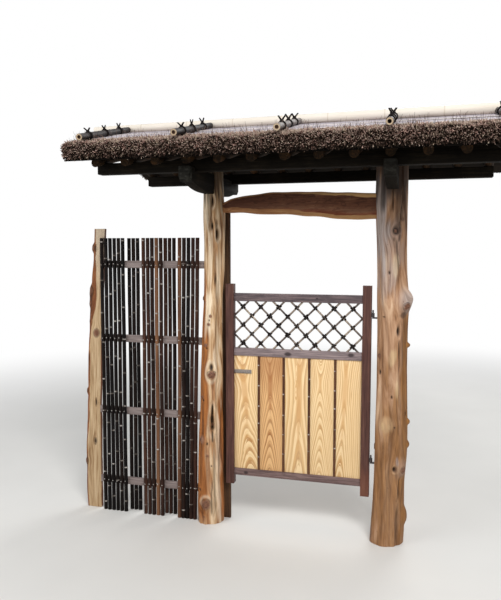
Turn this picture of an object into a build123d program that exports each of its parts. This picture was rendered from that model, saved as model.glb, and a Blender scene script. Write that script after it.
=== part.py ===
from build123d import *
import math
import os

# A roofed wicket gate: two log posts, a door of cedar boards, a low gable roof thatched
# with twigs, and a short wing of bamboo canes. Millimetres. The origin is the centre of the
# right post's foot, +X runs along the gate to the right, +Y to the back, +Z up.

# Posts
post_spacing = 1050.0
left_x = -post_spacing
right_girth = 86.0
left_girth = 66.0
post_sides = 22
lobe_depth = 0.04
ripple_depth = 0.022
# Each level of a log: height as a share of its length, lean to the right and radius as
# shares of its girth
right_levels = [
    (0.0, -0.12, 1.08), (0.05, -0.06, 1.08), (0.1, -0.03, 1.03), (0.17, 0.0, 1.0), (0.24, 0.08, 1.06),
    (0.31, 0.08, 1.05), (0.4, 0.08, 0.99), (0.5, 0.06, 0.97), (0.58, 0.06, 0.96), (0.64, 0.09, 1.03),
    (0.7, 0.0, 0.93), (0.77, -0.05, 0.93), (0.83, -0.09, 0.98), (0.9, -0.12, 1.05), (1.0, -0.1, 0.99),
]
left_levels = [
    (0.0, -0.27, 1.18), (0.04, -0.3, 1.22), (0.09, -0.3, 1.16), (0.16, -0.29, 1.14), (0.26, -0.23, 1.08),
    (0.33, -0.15, 1.0), (0.41, -0.11, 1.01), (0.5, -0.08, 0.92), (0.58, -0.02, 0.88), (0.65, 0.06, 0.84),
    (0.72, 0.17, 0.9), (0.79, 0.2, 0.9), (0.87, 0.15, 0.97), (0.93, 0.1, 0.9), (1.0, 0.08, 0.88),
]
# Each branch stub: height as a share of the log, bearing in degrees from +X, radius and how
# far it stands proud
right_knots = [
    (0.645, 15.0, 30.0, 9.0), (0.545, -35.0, 22.0, 7.0), (0.5, -140.0, 18.0, 5.0), (0.325, -88.0, 20.0, 5.0),
    (0.205, -62.0, 26.0, 8.0), (0.07, -40.0, 24.0, 7.0), (0.74, -75.0, 15.0, 4.0), (0.42, 100.0, 24.0, 7.0),
    (0.8, 120.0, 20.0, 6.0),
]
left_knots = [
    (0.43, -92.0, 23.0, 6.0), (0.075, -95.0, 26.0, 8.0), (0.615, -150.0, 15.0, 5.0),
    (0.36, -160.0, 14.0, 5.0), (0.225, -170.0, 17.0, 5.0), (0.3, 80.0, 20.0, 6.0), (0.68, 95.0, 18.0, 6.0),
]
knot_taper = 1.5
knot_sides = 9

# Roof, with thicknesses measured on the plumb line
ridge_height = 2372.0
roof_slope = 0.242
cover_thickness = 8.0
thatch_thickness = 89.0
board_thickness = 10.0
thatch_reach = 583.0
cover_reach = 470.0
board_reach = 560.0
rafter_reach = 430.0
thatch_overhang = 137.0
cover_overhang = 90.0
board_overhang = 112.0
thatch_corner = 55.0
thatch_brow = 30.0
thatch_lip = 16.0
rafter_diameter = 52.0
rafter_sides = 12
rafter_flat = 3.0
bays_between_posts = 6
bays_outside = 3
birdsmouth = 8.0

# Beams under the roof
purlin_y = 340.0
purlin_width = 60.0
purlin_height = 61.0
purlin_overhang = 22.0
purlin_cog = 20.0
ridge_beam_width = 60.0
ridge_beam_height = 72.0
arm_reach = 461.0
arm_width = 62.0
arm_depth = 112.0
arm_nose = 56.0
arm_bevel = 28.0
arm_bevel_drop = 24.0
arm_belly = 120.0

# Ridge pole and the short bamboo hold-downs
pole_radius_left = 22.0
pole_radius_right = 29.0
pole_overhang = 94.0
hold_radius = 17.5
hold_reach = 600.0
culm_wall = 5.0
culm_bore = 60.0
culm_sides = 14
seat_gap = 0.3

# Lintel, a natural-edge slab. Each point of an edge: share of the post spacing from the left
# post, and height from the slab's middle line as a share of its depth
lintel_thickness = 70.0
lintel_depth = 130.0
lintel_below_arm = 72.0
lintel_top_edge = [(0.043, 0.18), (0.16, 0.38), (0.29, 0.55), (0.57, 0.6), (0.72, 0.52), (0.933, 0.43)]
lintel_bottom_edge = [(0.043, -0.24), (0.35, -0.37), (0.53, -0.44), (0.72, -0.62), (0.933, -0.65)]
lintel_chamfer = 9.0

# Wing fence
fence_height = 1734.0
fence_reach = 780.0
end_post_height = 1792.0
end_post_girth = 43.0
end_post_depth = 55.0
# Each level of the half log, as for the posts
end_post_levels = [
    (0.0, -0.7, 1.16), (0.08, -0.72, 1.2), (0.16, -0.65, 1.16), (0.27, -0.6, 1.15), (0.38, -0.49, 1.06),
    (0.5, -0.3, 1.05), (0.6, -0.12, 1.0), (0.71, 0.12, 0.98), (0.8, 0.38, 0.88), (0.9, 0.7, 0.84),
    (1.0, 1.02, 0.84),
]
# The bark side of a half log, from right to left: place across and depth behind the sawn face
half_log_bark = [
    (0.98, 0.25), (0.86, 0.62), (0.5, 0.92), (0.0, 1.0), (-0.5, 0.9), (-0.88, 0.58), (-1.03, 0.2),
]
rail_height = 45.0
rail_thickness = 20.0
rail_centres = [194.0, 648.0, 1109.0, 1572.0]
rail_in_post = 30.0
cane_radius = 10.5
cane_sides = 10
cane_gap = 0.2
cane_pitch = 28.6
# Groups of canes from left to right: how far the first cane's head stands left of the left
# post, and how far the feet of the first and last canes stand left of their heads
front_starts = [717.0, 436.0, 199.0]
front_counts = [6, 5, 5]
front_leans = [(4.0, 4.0), (6.0, 6.0), (16.0, 29.0)]
back_starts = [552.0, 310.0]
back_counts = [3, 3]
back_leans = [(5.0, 5.0), (8.0, 8.0)]

# Door leaf
door_width = 860.0
door_gap = 109.0
door_foot = 240.0
door_head = 1460.0
stile_width = 50.0
stile_depth = 45.0
stile_edge = 2.5
rail_setback = 12.0
rail_depth = 26.0
rail_tenon = 25.0
tenon_shoulder = 7.0
bottom_rail = (294.0, 337.0)
mid_rail = (1030.0, 1076.0)
top_rail = (1357.0, 1404.5)
board_count = 5
board_face = 18.0
panel_board_thickness = 12.0
board_groove = 8.0
strip_radius = 8.0
lattice_columns = 14
lattice_bar = 9.0
lattice_front = 15.0
lattice_sink = 1.0
latch_length = 107.0
latch_height = 22.0
latch_thickness = 6.0
latch_level = 934.0

# Door stop and hinges
stop_width = 98.0
stop_edge = 95.0
stop_thickness = 18.0
stop_gap = 5.0
hinge_from_edge = 9.0
hinge_levels = {"lower": 450.0, "upper": 1285.0}
pin_radius = 4.5
pin_length = 40.0
pin_clearance = 0.08
shank_size = 9.0
shank_in_post = 35.0
eye_radius = 9.0
eye_height = 22.0
eye_lift = 0.5
tongue_length = 34.0
tongue_front = 2.0
tongue_thickness = 6.0

# Worked-out sizes
roof_angle = math.atan(roof_slope)
plumb = 1 / math.cos(roof_angle)
bay = post_spacing / bays_between_posts
rafter_count = bays_between_posts + 2 * bays_outside + 1
roof_left = left_x - bays_outside * bay
roof_right = bays_outside * bay
thatch_top = ridge_height - cover_thickness
board_top = thatch_top - thatch_thickness
rafter_top = board_top - board_thickness
rafter_bottom = rafter_top - (rafter_diameter - rafter_flat) * plumb
purlin_top = rafter_bottom - roof_slope * purlin_y + birdsmouth
ridge_beam_top = rafter_bottom + birdsmouth
post_top = ridge_beam_top - ridge_beam_height
arm_top = purlin_top - purlin_height + purlin_cog
arm_under = arm_top - arm_depth
lintel_middle = arm_under - lintel_below_arm
door_right = -door_gap
door_left = door_right - door_width
panel_left = door_left + stile_width
panel_right = door_right - stile_width
hinge_x = door_right + hinge_from_edge


def block(x, y, z):
    """A box between the two values given for each axis."""
    low = (min(x), min(y), min(z))
    size = (abs(x[1] - x[0]), abs(y[1] - y[0]), abs(z[1] - z[0]))
    return Pos(*low) * Box(*size, align=(Align.MIN, Align.MIN, Align.MIN))


def along_x(points, x0, x1):
    """A profile of (y, z) points carried from x0 to x1."""
    return extrude(Plane.YZ.offset(x0) * make_face(Polyline(*points, close=True)), amount=x1 - x0)


def upright(x, y, radius, z0, z1):
    """A round bar that stands on a level plane."""
    return extrude(Plane.XY.offset(z0) * Pos(x, y) * Circle(radius), amount=z1 - z0)


def rear_of(front):
    """The piece behind the ridge that matches one in front."""
    return mirror(front, about=Plane.XZ)


# Logs

def lobed_section(level, centre, radius, turn):
    """A closed outline with shallow lobes, as an old trunk has."""
    points = []
    for k in range(post_sides):
        angle = 2 * math.pi * k / post_sides
        swell = 1 + lobe_depth * math.cos(3 * angle + turn) + ripple_depth * math.cos(7 * angle - 2 * turn)
        points.append((centre + radius * swell * math.cos(angle), radius * swell * math.sin(angle)))
    return Plane.XY.offset(level) * make_face(Polyline(*points, close=True))


def at_share(levels, share):
    """The lean and radius of a log at a share of its height."""
    for low, high in zip(levels, levels[1:]):
        if share <= high[0]:
            part = (share - low[0]) / (high[0] - low[0])
            return low[1] + part * (high[1] - low[1]), low[2] + part * (high[2] - low[2])
    return levels[-1][1:]


def knot(levels, height, foot, girth, spot):
    """A branch stub that runs out from the heart of a log."""
    share, bearing, radius, proud = spot
    lean, factor = at_share(levels, share)
    reach = girth * factor + proud
    outwards = Vector(1, 0, 0).rotate(Axis.Z, bearing)
    heart = Plane(origin=(foot + girth * lean, 0, share * height), x_dir=(0, 0, 1), z_dir=outwards)
    root = heart * RegularPolygon(radius * knot_taper, knot_sides)
    return loft([root, heart.offset(reach) * RegularPolygon(radius, knot_sides)], ruled=True)


def log(levels, knots, height, foot, girth, twist):
    """A gnarled trunk with lobes that wind round it and stubs of branches."""
    sections = [
        lobed_section(share * height, foot + girth * lean, girth * factor, twist * share)
        for share, lean, factor in levels
    ]
    trunk = loft(sections, ruled=True)
    for spot in knots:
        trunk = trunk + knot(levels, height, foot, girth, spot)
    return trunk


def half_log_section(level, centre, radius):
    """The flat sawn front and bark-covered back of a split log."""
    front = -rail_thickness / 2
    points = [(centre - radius, front), (centre + radius, front)]
    points += [(centre + across * radius, front + back * end_post_depth) for across, back in half_log_bark]
    return Plane.XY.offset(level) * make_face(Polyline(*points, close=True))


def half_log():
    foot = left_x - fence_reach
    sections = [
        half_log_section(share * end_post_height, foot + end_post_girth * lean, end_post_girth * factor)
        for share, lean, factor in end_post_levels
    ]
    return loft(sections, ruled=True)


# Beams

def lintel_edge(shares):
    return [(left_x + along * post_spacing, lintel_middle + up * lintel_depth) for along, up in shares]


def lintel_slab():
    top = lintel_edge(lintel_top_edge)
    bottom = lintel_edge(lintel_bottom_edge)
    outline = Spline(*top) + Line(top[-1], bottom[-1]) + Spline(*bottom[::-1]) + Line(bottom[0], top[0])
    slab = extrude(Plane.XZ.offset(-lintel_thickness / 2) * make_face(outline), amount=lintel_thickness)
    long_edges = slab.edges().filter_by(lambda edge: edge.length > post_spacing / 2)
    return chamfer(long_edges, lintel_chamfer)


def purlin(side):
    """The squared timber that carries the rafters in front (-1) or behind (1)."""
    middle = side * purlin_y
    return block(
        (roof_left - purlin_overhang, roof_right + purlin_overhang),
        (middle - purlin_width / 2, middle + purlin_width / 2),
        (purlin_top - purlin_height, purlin_top),
    )


def ridge_timber():
    return block(
        (roof_left - purlin_overhang, roof_right + purlin_overhang),
        (-ridge_beam_width / 2, ridge_beam_width / 2),
        (post_top, ridge_beam_top),
    )


def arm(centre):
    """A front-to-back beam with shaped noses, housed for both purlins."""
    nose_foot = arm_top - arm_nose
    lip = nose_foot - arm_bevel_drop
    hollow = (lip + arm_under) / 2
    inner = arm_reach - arm_bevel
    half = [(inner, lip), (0.6 * inner + 0.4 * arm_belly, hollow), (arm_belly, arm_under)]
    noses = Polyline(
        (-inner, lip), (-arm_reach, nose_foot), (-arm_reach, arm_top),
        (arm_reach, arm_top), (arm_reach, nose_foot), (inner, lip),
    )
    rear = Spline(*half, tangents=[(-1, 0.15), (-1, 0)])
    front = Spline(*[(-y, z) for y, z in half], tangents=[(1, 0.15), (1, 0)])
    outline = noses + rear + Line((arm_belly, arm_under), (-arm_belly, arm_under)) + front
    beam = extrude(Plane.YZ.offset(centre - arm_width / 2) * make_face(outline), amount=arm_width)
    return beam - purlin(-1) - purlin(1)


# Roof

def sloping_layer(top, thickness, reach, overhang):
    """One half of a roof layer, in front of the ridge."""
    drop = roof_slope * reach
    points = [(-reach, top - drop - thickness), (0, top - thickness), (0, top), (-reach, top - drop)]
    return along_x(points, roof_left - overhang, roof_right + overhang)


def thatch_half():
    """One slope of the thatch, with rounded corners and brow and an eased lip at the eave."""
    half = sloping_layer(thatch_top, thatch_thickness, thatch_reach, thatch_overhang)
    half = fillet(half.edges().filter_by(Axis.Z).group_by(Axis.Y)[0], thatch_corner)
    eave = half.faces().sort_by(Axis.Y)[0]
    upper = eave.edges().filter_by(Axis.X).sort_by(Axis.Z)[-1]
    half = fillet(upper, thatch_brow)
    eave = half.faces().sort_by(Axis.Y)[0]
    lower = eave.edges().filter_by(Axis.X).sort_by(Axis.Z)[0]
    return chamfer(lower, thatch_lip)


def slope_plane(height, outwards):
    """A plane across the front slope, whose axis runs down to the eave."""
    origin = (0, -outwards, height - roof_slope * outwards)
    return Plane(origin=origin, x_dir=(1, 0, 0), z_dir=(0, -math.cos(roof_angle), -math.sin(roof_angle)))


def rafter():
    """A round rafter with a planed top, plumb ends and seats on its two beams."""
    radius = rafter_diameter / 2
    axis_height = rafter_top - (radius - rafter_flat) * plumb
    length = (rafter_reach + 2 * rafter_diameter) * plumb
    start = slope_plane(axis_height, -rafter_diameter)
    stick = extrude(start * RegularPolygon(radius, rafter_sides), amount=length)
    far = 2 * rafter_reach
    drop = roof_slope * far
    sky = ridge_height + far
    above = [(-far, rafter_top - drop), (far, rafter_top + drop), (far, sky), (-far, sky)]
    stick = stick - along_x(above, -rafter_diameter, rafter_diameter)
    stick = stick & block((-rafter_diameter, rafter_diameter), (-rafter_reach, 0), (0, ridge_height))
    across = Pos(-0.5 * (roof_left + roof_right), 0, 0)
    return stick - across * purlin(-1) - across * ridge_timber()


def rafter_row():
    one = rafter()
    return [Pos(roof_left + k * bay, 0, 0) * one for k in range(rafter_count)]


def pole_ends():
    """The place along the gate and the radius of each end of the ridge pole."""
    left = roof_left - thatch_overhang - pole_overhang
    right = roof_right + thatch_overhang + pole_overhang
    return (left, pole_radius_left), (right, pole_radius_right)


def pole_radius(x):
    (left, thin), (right, thick) = pole_ends()
    return thin + (thick - thin) * (x - left) / (right - left)


def ridge_pole():
    """The tapered bamboo on the ridge, resting on both slopes, with open ends."""
    rings = []
    bores = []
    for (x, radius), inwards in zip(pole_ends(), (1, -1)):
        end = Plane.YZ.offset(x) * Pos(0, ridge_height + radius * plumb + seat_gap)
        rings.append(end * Circle(radius))
        bores.append(extrude(end * Circle(radius - culm_wall), amount=inwards * culm_bore))
    return loft(rings) - bores[0] - bores[1]


def hold_down(x):
    """A bamboo laid up the slope to the ridge pole, with an open end at the eave."""
    height = ridge_height + hold_radius * plumb + seat_gap
    along_slope = pole_radius(x) * (1 - roof_slope) + hold_radius * roof_slope + seat_gap
    head = along_slope / plumb
    outside = RegularPolygon(hold_radius, culm_sides)
    inside = RegularPolygon(hold_radius - culm_wall, culm_sides)
    stick = extrude(slope_plane(height, head) * outside, amount=(hold_reach - head) * plumb)
    bore = extrude(slope_plane(height, hold_reach) * inside, amount=-culm_bore)
    return Pos(x, 0, 0) * (stick - bore)


def hold_down_row():
    return [hold_down(roof_left + k * bay) for k in range(0, rafter_count, bays_outside)]


# Wing fence

def fence_bars(end_post):
    """The rails, coped to the end post and let into the left post."""
    bars = []
    for centre in rail_centres:
        bar = block(
            (left_x - fence_reach, left_x - rail_in_post),
            (-rail_thickness / 2, rail_thickness / 2),
            (centre - rail_height / 2, centre + rail_height / 2),
        )
        bars.append((bar - end_post).solids().sort_by(Axis.X)[-1])
    return bars


def cane(foot_x, head_x, y):
    """One upright cane from the ground to the fence's top."""
    foot = Pos(foot_x, y) * RegularPolygon(cane_radius, cane_sides)
    head = Pos(head_x, y, fence_height) * RegularPolygon(cane_radius, cane_sides)
    return loft([foot, head], ruled=True)


def cane_group(start, count, leans, side):
    y = side * (rail_thickness / 2 + cane_radius + cane_gap)
    canes = []
    for k in range(count):
        head_x = left_x - start + k * cane_pitch
        lean = leans[0] + (leans[1] - leans[0]) * k / (count - 1)
        canes.append(cane(head_x - lean, head_x, y))
    return canes


# Door

def stile(left):
    """An upright of the leaf with eased front edges."""
    bar = block((left, left + stile_width), (0, stile_depth), (door_foot, door_head))
    front = bar.faces().sort_by(Axis.Y)[0]
    return chamfer(front.edges(), stile_edge)


def door_rail(levels):
    """A rail with a stub tenon at each end."""
    back = rail_setback + rail_depth
    body = block((panel_left, panel_right), (rail_setback, back), levels)
    tenon = block(
        (panel_left - rail_tenon, panel_right + rail_tenon),
        (rail_setback + tenon_shoulder, back - tenon_shoulder),
        (levels[0] + tenon_shoulder, levels[1] - tenon_shoulder),
    )
    return body + tenon


def panel_board(k):
    """One upright board, let into the rails above and below it."""
    width = (panel_right - panel_left) / board_count
    left = panel_left + k * width
    return block(
        (left, left + width),
        (board_face, board_face + panel_board_thickness),
        (bottom_rail[1] - board_groove, mid_rail[0] + board_groove),
    )


def joint_strip(k):
    """The half-round bamboo over the joint between two boards."""
    x = panel_left + k * (panel_right - panel_left) / board_count
    levels = (bottom_rail[1], mid_rail[0])
    rod = upright(x, board_face, strip_radius, *levels)
    return rod & block((x - strip_radius, x + strip_radius), (board_face - strip_radius, board_face), levels)


def lattice():
    """Two layers of diagonal bars, joined where they cross."""
    half_pitch = (panel_right - panel_left) / lattice_columns
    opening = top_rail[0] - mid_rail[1]
    middle_z = mid_rail[1] + opening / 2
    window = block((panel_left, panel_right), (0, stile_depth), (mid_rail[1], top_rail[0]))
    spare = 2 * math.ceil(opening / half_pitch / 4) + 1
    bars = []
    for layer, turn in ((0, 45), (1, -45)):
        front = lattice_front + layer * (lattice_bar - lattice_sink)
        for k in range(-spare, lattice_columns + spare + 1, 2):
            place = Pos(panel_left + k * half_pitch, front + lattice_bar / 2, middle_z)
            bar = place * Rot(0, turn, 0) * Box(2 * opening, lattice_bar, lattice_bar)
            inside = bar & window
            if inside:
                bars += inside.solids()
    return bars[0].fuse(*bars[1:])


def latch():
    return block(
        (panel_left, panel_left + latch_length),
        (board_face - latch_thickness, board_face),
        (latch_level - latch_height / 2, latch_level + latch_height / 2),
    )


def eye(level):
    """An iron ring on a tongue that is driven into the hinge stile."""
    foot = level + eye_lift
    head = foot + eye_height
    ring = upright(hinge_x, 0, eye_radius, foot, head)
    bore = upright(hinge_x, 0, pin_radius + pin_clearance, foot, head)
    tongue = block(
        (door_right - tongue_length, hinge_x - pin_radius),
        (tongue_front, tongue_front + tongue_thickness),
        (foot, head),
    )
    return ring + tongue - bore


def hook(level):
    """An iron pin on a square shank that is driven into the right post."""
    half = shank_size / 2
    shank = block((hinge_x - half, -right_girth + shank_in_post), (-half, half), (level - shank_size, level))
    return shank + upright(hinge_x, 0, pin_radius, level, level + pin_length)


def door_stop():
    """The upright board on the back of the left post that the leaf closes against."""
    edge = left_x + stop_edge
    front = stile_depth + stop_gap
    top = lintel_edge(lintel_bottom_edge)[0][1]
    return block((edge - stop_width, edge), (front, front + stop_thickness), (0, top))


# Assembly

def let_in(piece, others):
    """The piece with a seat cut for each of the others."""
    for other in others:
        piece = piece - other
    return piece


def frame_pieces():
    arms = {"left_arm": arm(left_x), "right_arm": arm(0)}
    slab = lintel_slab()
    end_post = half_log()
    bars = fence_bars(end_post)
    stop = door_stop()
    hooks = {f"{side}_hinge_hook": hook(level) for side, level in hinge_levels.items()}
    left = log(left_levels, left_knots, post_top, left_x, left_girth, 2.6)
    right = log(right_levels, right_knots, post_top, 0, right_girth, -2.2)
    pieces = {
        "right_post": let_in(right, [arms["right_arm"], slab, *hooks.values()]),
        "left_post": let_in(left, [arms["left_arm"], slab, stop, *bars]),
        "lintel": slab,
        **arms,
        "front_purlin": purlin(-1),
        "rear_purlin": purlin(1),
        "ridge_beam": ridge_timber(),
        "fence_end_post": end_post,
        "fence_rails": bars,
        "door_stop": stop,
        **hooks,
    }
    rows = (
        ("front", -1, front_starts, front_counts, front_leans),
        ("back", 1, back_starts, back_counts, back_leans),
    )
    for name, side, starts, counts, leans in rows:
        for k, group in enumerate(zip(starts, counts, leans), 1):
            pieces[f"{name}_canes_{k}"] = cane_group(*group, side)
    return pieces


def roof_pieces():
    front = {
        "rafters": rafter_row(),
        "roof_boards": [sloping_layer(board_top, board_thickness, board_reach, board_overhang)],
        "thatch": [thatch_half()],
        "bark_cover": [sloping_layer(ridge_height, cover_thickness, cover_reach, cover_overhang)],
        "hold_downs": hold_down_row(),
    }
    pieces = {"ridge_pole": ridge_pole()}
    for name, solids in front.items():
        pieces["front_" + name] = solids
        pieces["rear_" + name] = [rear_of(solid) for solid in solids]
    return pieces


def door_pieces():
    boards = {f"board_{k + 1}": panel_board(k) for k in range(board_count)}
    eyes = {f"{side}_hinge_eye": eye(level) for side, level in hinge_levels.items()}
    levels = {"bottom_rail": bottom_rail, "mid_rail": mid_rail, "top_rail": top_rail}
    rails = {name: door_rail(level) for name, level in levels.items()}
    pieces = {
        "latch_stile": let_in(stile(door_left), rails.values()),
        "hinge_stile": let_in(stile(panel_right), [*rails.values(), *eyes.values()]),
        "bottom_rail": let_in(rails["bottom_rail"], boards.values()),
        "mid_rail": let_in(rails["mid_rail"], boards.values()),
        "top_rail": rails["top_rail"],
        "board_strips": [joint_strip(k) for k in range(1, board_count)],
        "lattice": lattice(),
        "latch_bar": latch(),
    }
    return {**pieces, **boards, **eyes}


os.makedirs("parts", exist_ok=True)
for node, piece in {**frame_pieces(), **roof_pieces(), **door_pieces()}.items():
    solids = piece if isinstance(piece, list) else [piece]
    solids = [part for shape in solids for part in shape.solids()]
    export_step(Compound(children=solids) if len(solids) > 1 else solids[0], f"parts/{node}.step")
    print(node, len(solids))
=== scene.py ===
import bpy
import math
import numpy as np
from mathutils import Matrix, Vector


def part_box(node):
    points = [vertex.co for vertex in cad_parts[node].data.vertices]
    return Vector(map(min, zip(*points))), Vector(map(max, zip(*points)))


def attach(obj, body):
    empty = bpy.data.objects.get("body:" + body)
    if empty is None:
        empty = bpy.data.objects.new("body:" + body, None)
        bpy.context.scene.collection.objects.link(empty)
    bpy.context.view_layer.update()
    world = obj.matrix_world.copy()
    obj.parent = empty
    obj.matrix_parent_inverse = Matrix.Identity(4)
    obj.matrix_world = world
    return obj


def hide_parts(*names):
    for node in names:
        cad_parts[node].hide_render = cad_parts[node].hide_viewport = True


# The looks of a roofed bamboo wicket gate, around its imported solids. Metres throughout.

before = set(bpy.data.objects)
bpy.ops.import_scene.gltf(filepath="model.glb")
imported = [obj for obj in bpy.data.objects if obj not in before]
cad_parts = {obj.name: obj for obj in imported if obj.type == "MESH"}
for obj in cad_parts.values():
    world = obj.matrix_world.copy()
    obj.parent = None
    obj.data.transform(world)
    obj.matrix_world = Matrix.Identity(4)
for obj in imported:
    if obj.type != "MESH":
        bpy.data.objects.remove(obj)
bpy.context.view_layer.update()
print("frame loaded")


# Small helpers for modelling

def setMode(mode):
    bpy.ops.object.mode_set(mode=mode)


def startClean():
    if bpy.context.mode != 'OBJECT':
        setMode('OBJECT')
    bpy.ops.object.select_all(action='DESELECT')


def bakePlace():
    # place, turn and size of what is picked go into its mesh
    bpy.ops.object.transform_apply(location=True, rotation=True, scale=True)


def pick(piece):
    startClean()
    piece.select_set(True)
    bpy.context.view_layer.objects.active = piece


def readPoints(piece):
    points = np.empty(len(piece.data.vertices) * 3)
    piece.data.vertices.foreach_get("co", points)
    return points.reshape(-1, 3)


def writePoints(piece, points):
    piece.data.vertices.foreach_set("co", np.ascontiguousarray(points).ravel())
    piece.data.update()


def paint(piece, name, values):
    values = np.asarray(values, dtype=np.float32)
    kind, key = ('FLOAT', "value") if values.ndim == 1 else ('FLOAT_VECTOR', "vector")
    layer = piece.data.attributes.new(name, kind, 'POINT')
    layer.data.foreach_set(key, values.ravel())


def useModifier(piece, kind, **settings):
    pick(piece)
    modifier = piece.modifiers.new(kind.title(), kind)
    for key, value in settings.items():
        setattr(modifier, key, value)
    bpy.ops.object.modifier_apply(modifier=modifier.name)


def selectUprightEdges(piece):
    mesh = piece.data
    heights = readPoints(piece)[:, 2]
    ends = np.empty(len(mesh.edges) * 2, dtype=int)
    mesh.edges.foreach_get("vertices", ends)
    ends = ends.reshape(-1, 2)
    rise = np.abs(heights[ends[:, 0]] - heights[ends[:, 1]])
    mesh.edges.foreach_set("select", rise > 1e-6)


def cutAcross(piece, cuts):
    pick(piece)
    setMode('EDIT')
    bpy.ops.mesh.select_mode(type='EDGE')
    bpy.ops.mesh.select_all(action='DESELECT')
    setMode('OBJECT')
    selectUprightEdges(piece)
    setMode('EDIT')
    bpy.ops.mesh.subdivide(number_cuts=cuts)
    setMode('OBJECT')


def hollowEnds(piece, wall, bore):
    # the two end faces are drawn in by the wall and pushed into the rod
    faces = sorted(piece.data.polygons, key=lambda face: face.center.z)
    ends = [(faces[0].index, bore), (faces[-1].index, -bore)]
    for end, push in ends:
        pick(piece)
        setMode('EDIT')
        bpy.ops.mesh.select_mode(type='FACE')
        bpy.ops.mesh.select_all(action='DESELECT')
        setMode('OBJECT')
        piece.data.polygons[end].select = True
        setMode('EDIT')
        bpy.ops.mesh.inset(thickness=wall)
        for share in (0.04, 0.96):
            bpy.ops.mesh.extrude_region_move(TRANSFORM_OT_translate={"value": (0, 0, push * share)})
        setMode('OBJECT')


def plainRod(sides, rings):
    # an upright rod of radius 1 and height 1, cut into even rings
    startClean()
    bpy.ops.mesh.primitive_cylinder_add(vertices=sides, radius=1, depth=1, location=(0, 0, 0.5))
    rod = bpy.context.object
    bakePlace()
    coarse = 10 if rings > 100 else 1
    if coarse > 1:
        cutAcross(rod, coarse - 1)
    cutAcross(rod, rings // coarse - 1)
    return rod


def turnedRod(sides, levels, radii, wall=None, bore=0.03):
    # a rod through the levels, each ring with its own radius
    rod = plainRod(sides, len(levels) - 1)
    points = readPoints(rod)
    ring = np.rint(points[:, 2] * (len(levels) - 1)).astype(int)
    points[:, :2] *= np.asarray(radii)[ring][:, None]
    points[:, 2] = np.asarray(levels)[ring]
    writePoints(rod, points)
    if wall:
        hollowEnds(rod, wall, bore)
    return rod


def waves(along, across, seed, count=9):
    # smooth unrepeating variation between about -1 and 1
    dice = np.random.default_rng(seed)
    total = np.zeros(np.broadcast(along, across).shape)
    for _ in range(count):
        bearing = dice.uniform(0, 2 * math.pi)
        speed = dice.uniform(0.5, 1.6)
        phase = dice.uniform(0, 2 * math.pi)
        total += np.sin(speed * (math.cos(bearing) * along + math.sin(bearing) * across) + phase)
    return total / math.sqrt(count * 1.6)


def wrapped(angle):
    return (angle + math.pi) % (2 * math.pi) - math.pi


def smoothStep(value, low, high):
    part = np.clip((value - low) / (high - low), 0, 1)
    return part * part * (3 - 2 * part)


def patternOf(piece):
    # takes a modelled piece apart for copying, and removes it
    points = readPoints(piece)
    faces = [list(face.vertices) for face in piece.data.polygons]
    mesh = piece.data
    bpy.data.objects.remove(piece)
    bpy.data.meshes.remove(mesh)
    return points, faces


def joinedCopies(name, copies, faces):
    # one mesh of many copies of a pattern; copies has the shape (count, points, 3)
    count, size = copies.shape[:2]
    allFaces = [[corner + k * size for corner in face] for k in range(count) for face in faces]
    mesh = bpy.data.meshes.new(name)
    mesh.from_pydata(copies.reshape(-1, 3).tolist(), [], allFaces)
    piece = bpy.data.objects.new(name, mesh)
    bpy.context.scene.collection.objects.link(piece)
    return piece


def joinPieces(name, pieces):
    startClean()
    for piece in pieces:
        piece.select_set(True)
    bpy.context.view_layer.objects.active = pieces[0]
    bpy.ops.object.join()
    joined = bpy.context.object
    joined.name = name
    return joined


def onWholeMesh(piece, operator, **settings):
    pick(piece)
    setMode('EDIT')
    bpy.ops.mesh.select_all(action='SELECT')
    operator(**settings)
    setMode('OBJECT')


def faceOutwards(piece):
    onWholeMesh(piece, bpy.ops.mesh.normals_make_consistent, inside=False)


def solidCopy(node, name):
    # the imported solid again, with a mesh of its own
    piece = bpy.data.objects.new(name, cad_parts[node].data.copy())
    bpy.context.scene.collection.objects.link(piece)
    return piece


def closeSeams(piece):
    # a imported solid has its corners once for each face
    pick(piece)
    bpy.ops.mesh.customdata_custom_splitnormals_clear()
    onWholeMesh(piece, bpy.ops.mesh.remove_doubles, threshold=1e-5)


def dress(piece, material):
    piece.data.materials.clear()
    piece.data.materials.append(material)


def finishPiece(piece, name, body, material, replaced=(), angle=40):
    pick(piece)
    piece.name = name
    piece.data.name = name
    bakePlace()
    dress(piece, material)
    bpy.ops.object.shade_smooth_by_angle(angle=math.radians(angle))
    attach(piece, body)
    if replaced:
        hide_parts(*replaced)


def easedCopy(node, body, material, edge):
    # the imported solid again, with softened edges
    piece = solidCopy(node, node + "Eased")
    closeSeams(piece)
    onWholeMesh(piece, bpy.ops.mesh.dissolve_limited, angle_limit=math.radians(1))
    useModifier(piece, 'BEVEL', width=edge, segments=2, limit_method='ANGLE', angle_limit=math.radians(30))
    finishPiece(piece, node + "Eased", body, material, [node])


# Small helpers for materials

def shade(red, green, blue):
    # a screen colour from 0 to 255 as the shader wants it
    def linear(value):
        value /= 255
        return value / 12.92 if value <= 0.04045 else ((value + 0.055) / 1.055) ** 2.4
    return linear(red), linear(green), linear(blue), 1.0


def newMaterial(name, roughness=0.6, gloss=0.2):
    material = bpy.data.materials.new(name)
    material.use_nodes = True
    tree = material.node_tree
    shader = tree.nodes["Principled BSDF"]
    shader.inputs["Roughness"].default_value = roughness
    shader.inputs["Specular IOR Level"].default_value = gloss
    return material, tree, shader


def addNode(tree, kind, **settings):
    node = tree.nodes.new(kind)
    for key, value in settings.items():
        setattr(node, key, value)
    return node


def feed(tree, socket, value):
    if hasattr(value, "is_output"):
        tree.links.new(value, socket)
    else:
        socket.default_value = value


def objectPlace(tree):
    return addNode(tree, "ShaderNodeTexCoord").outputs["Object"]


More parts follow.
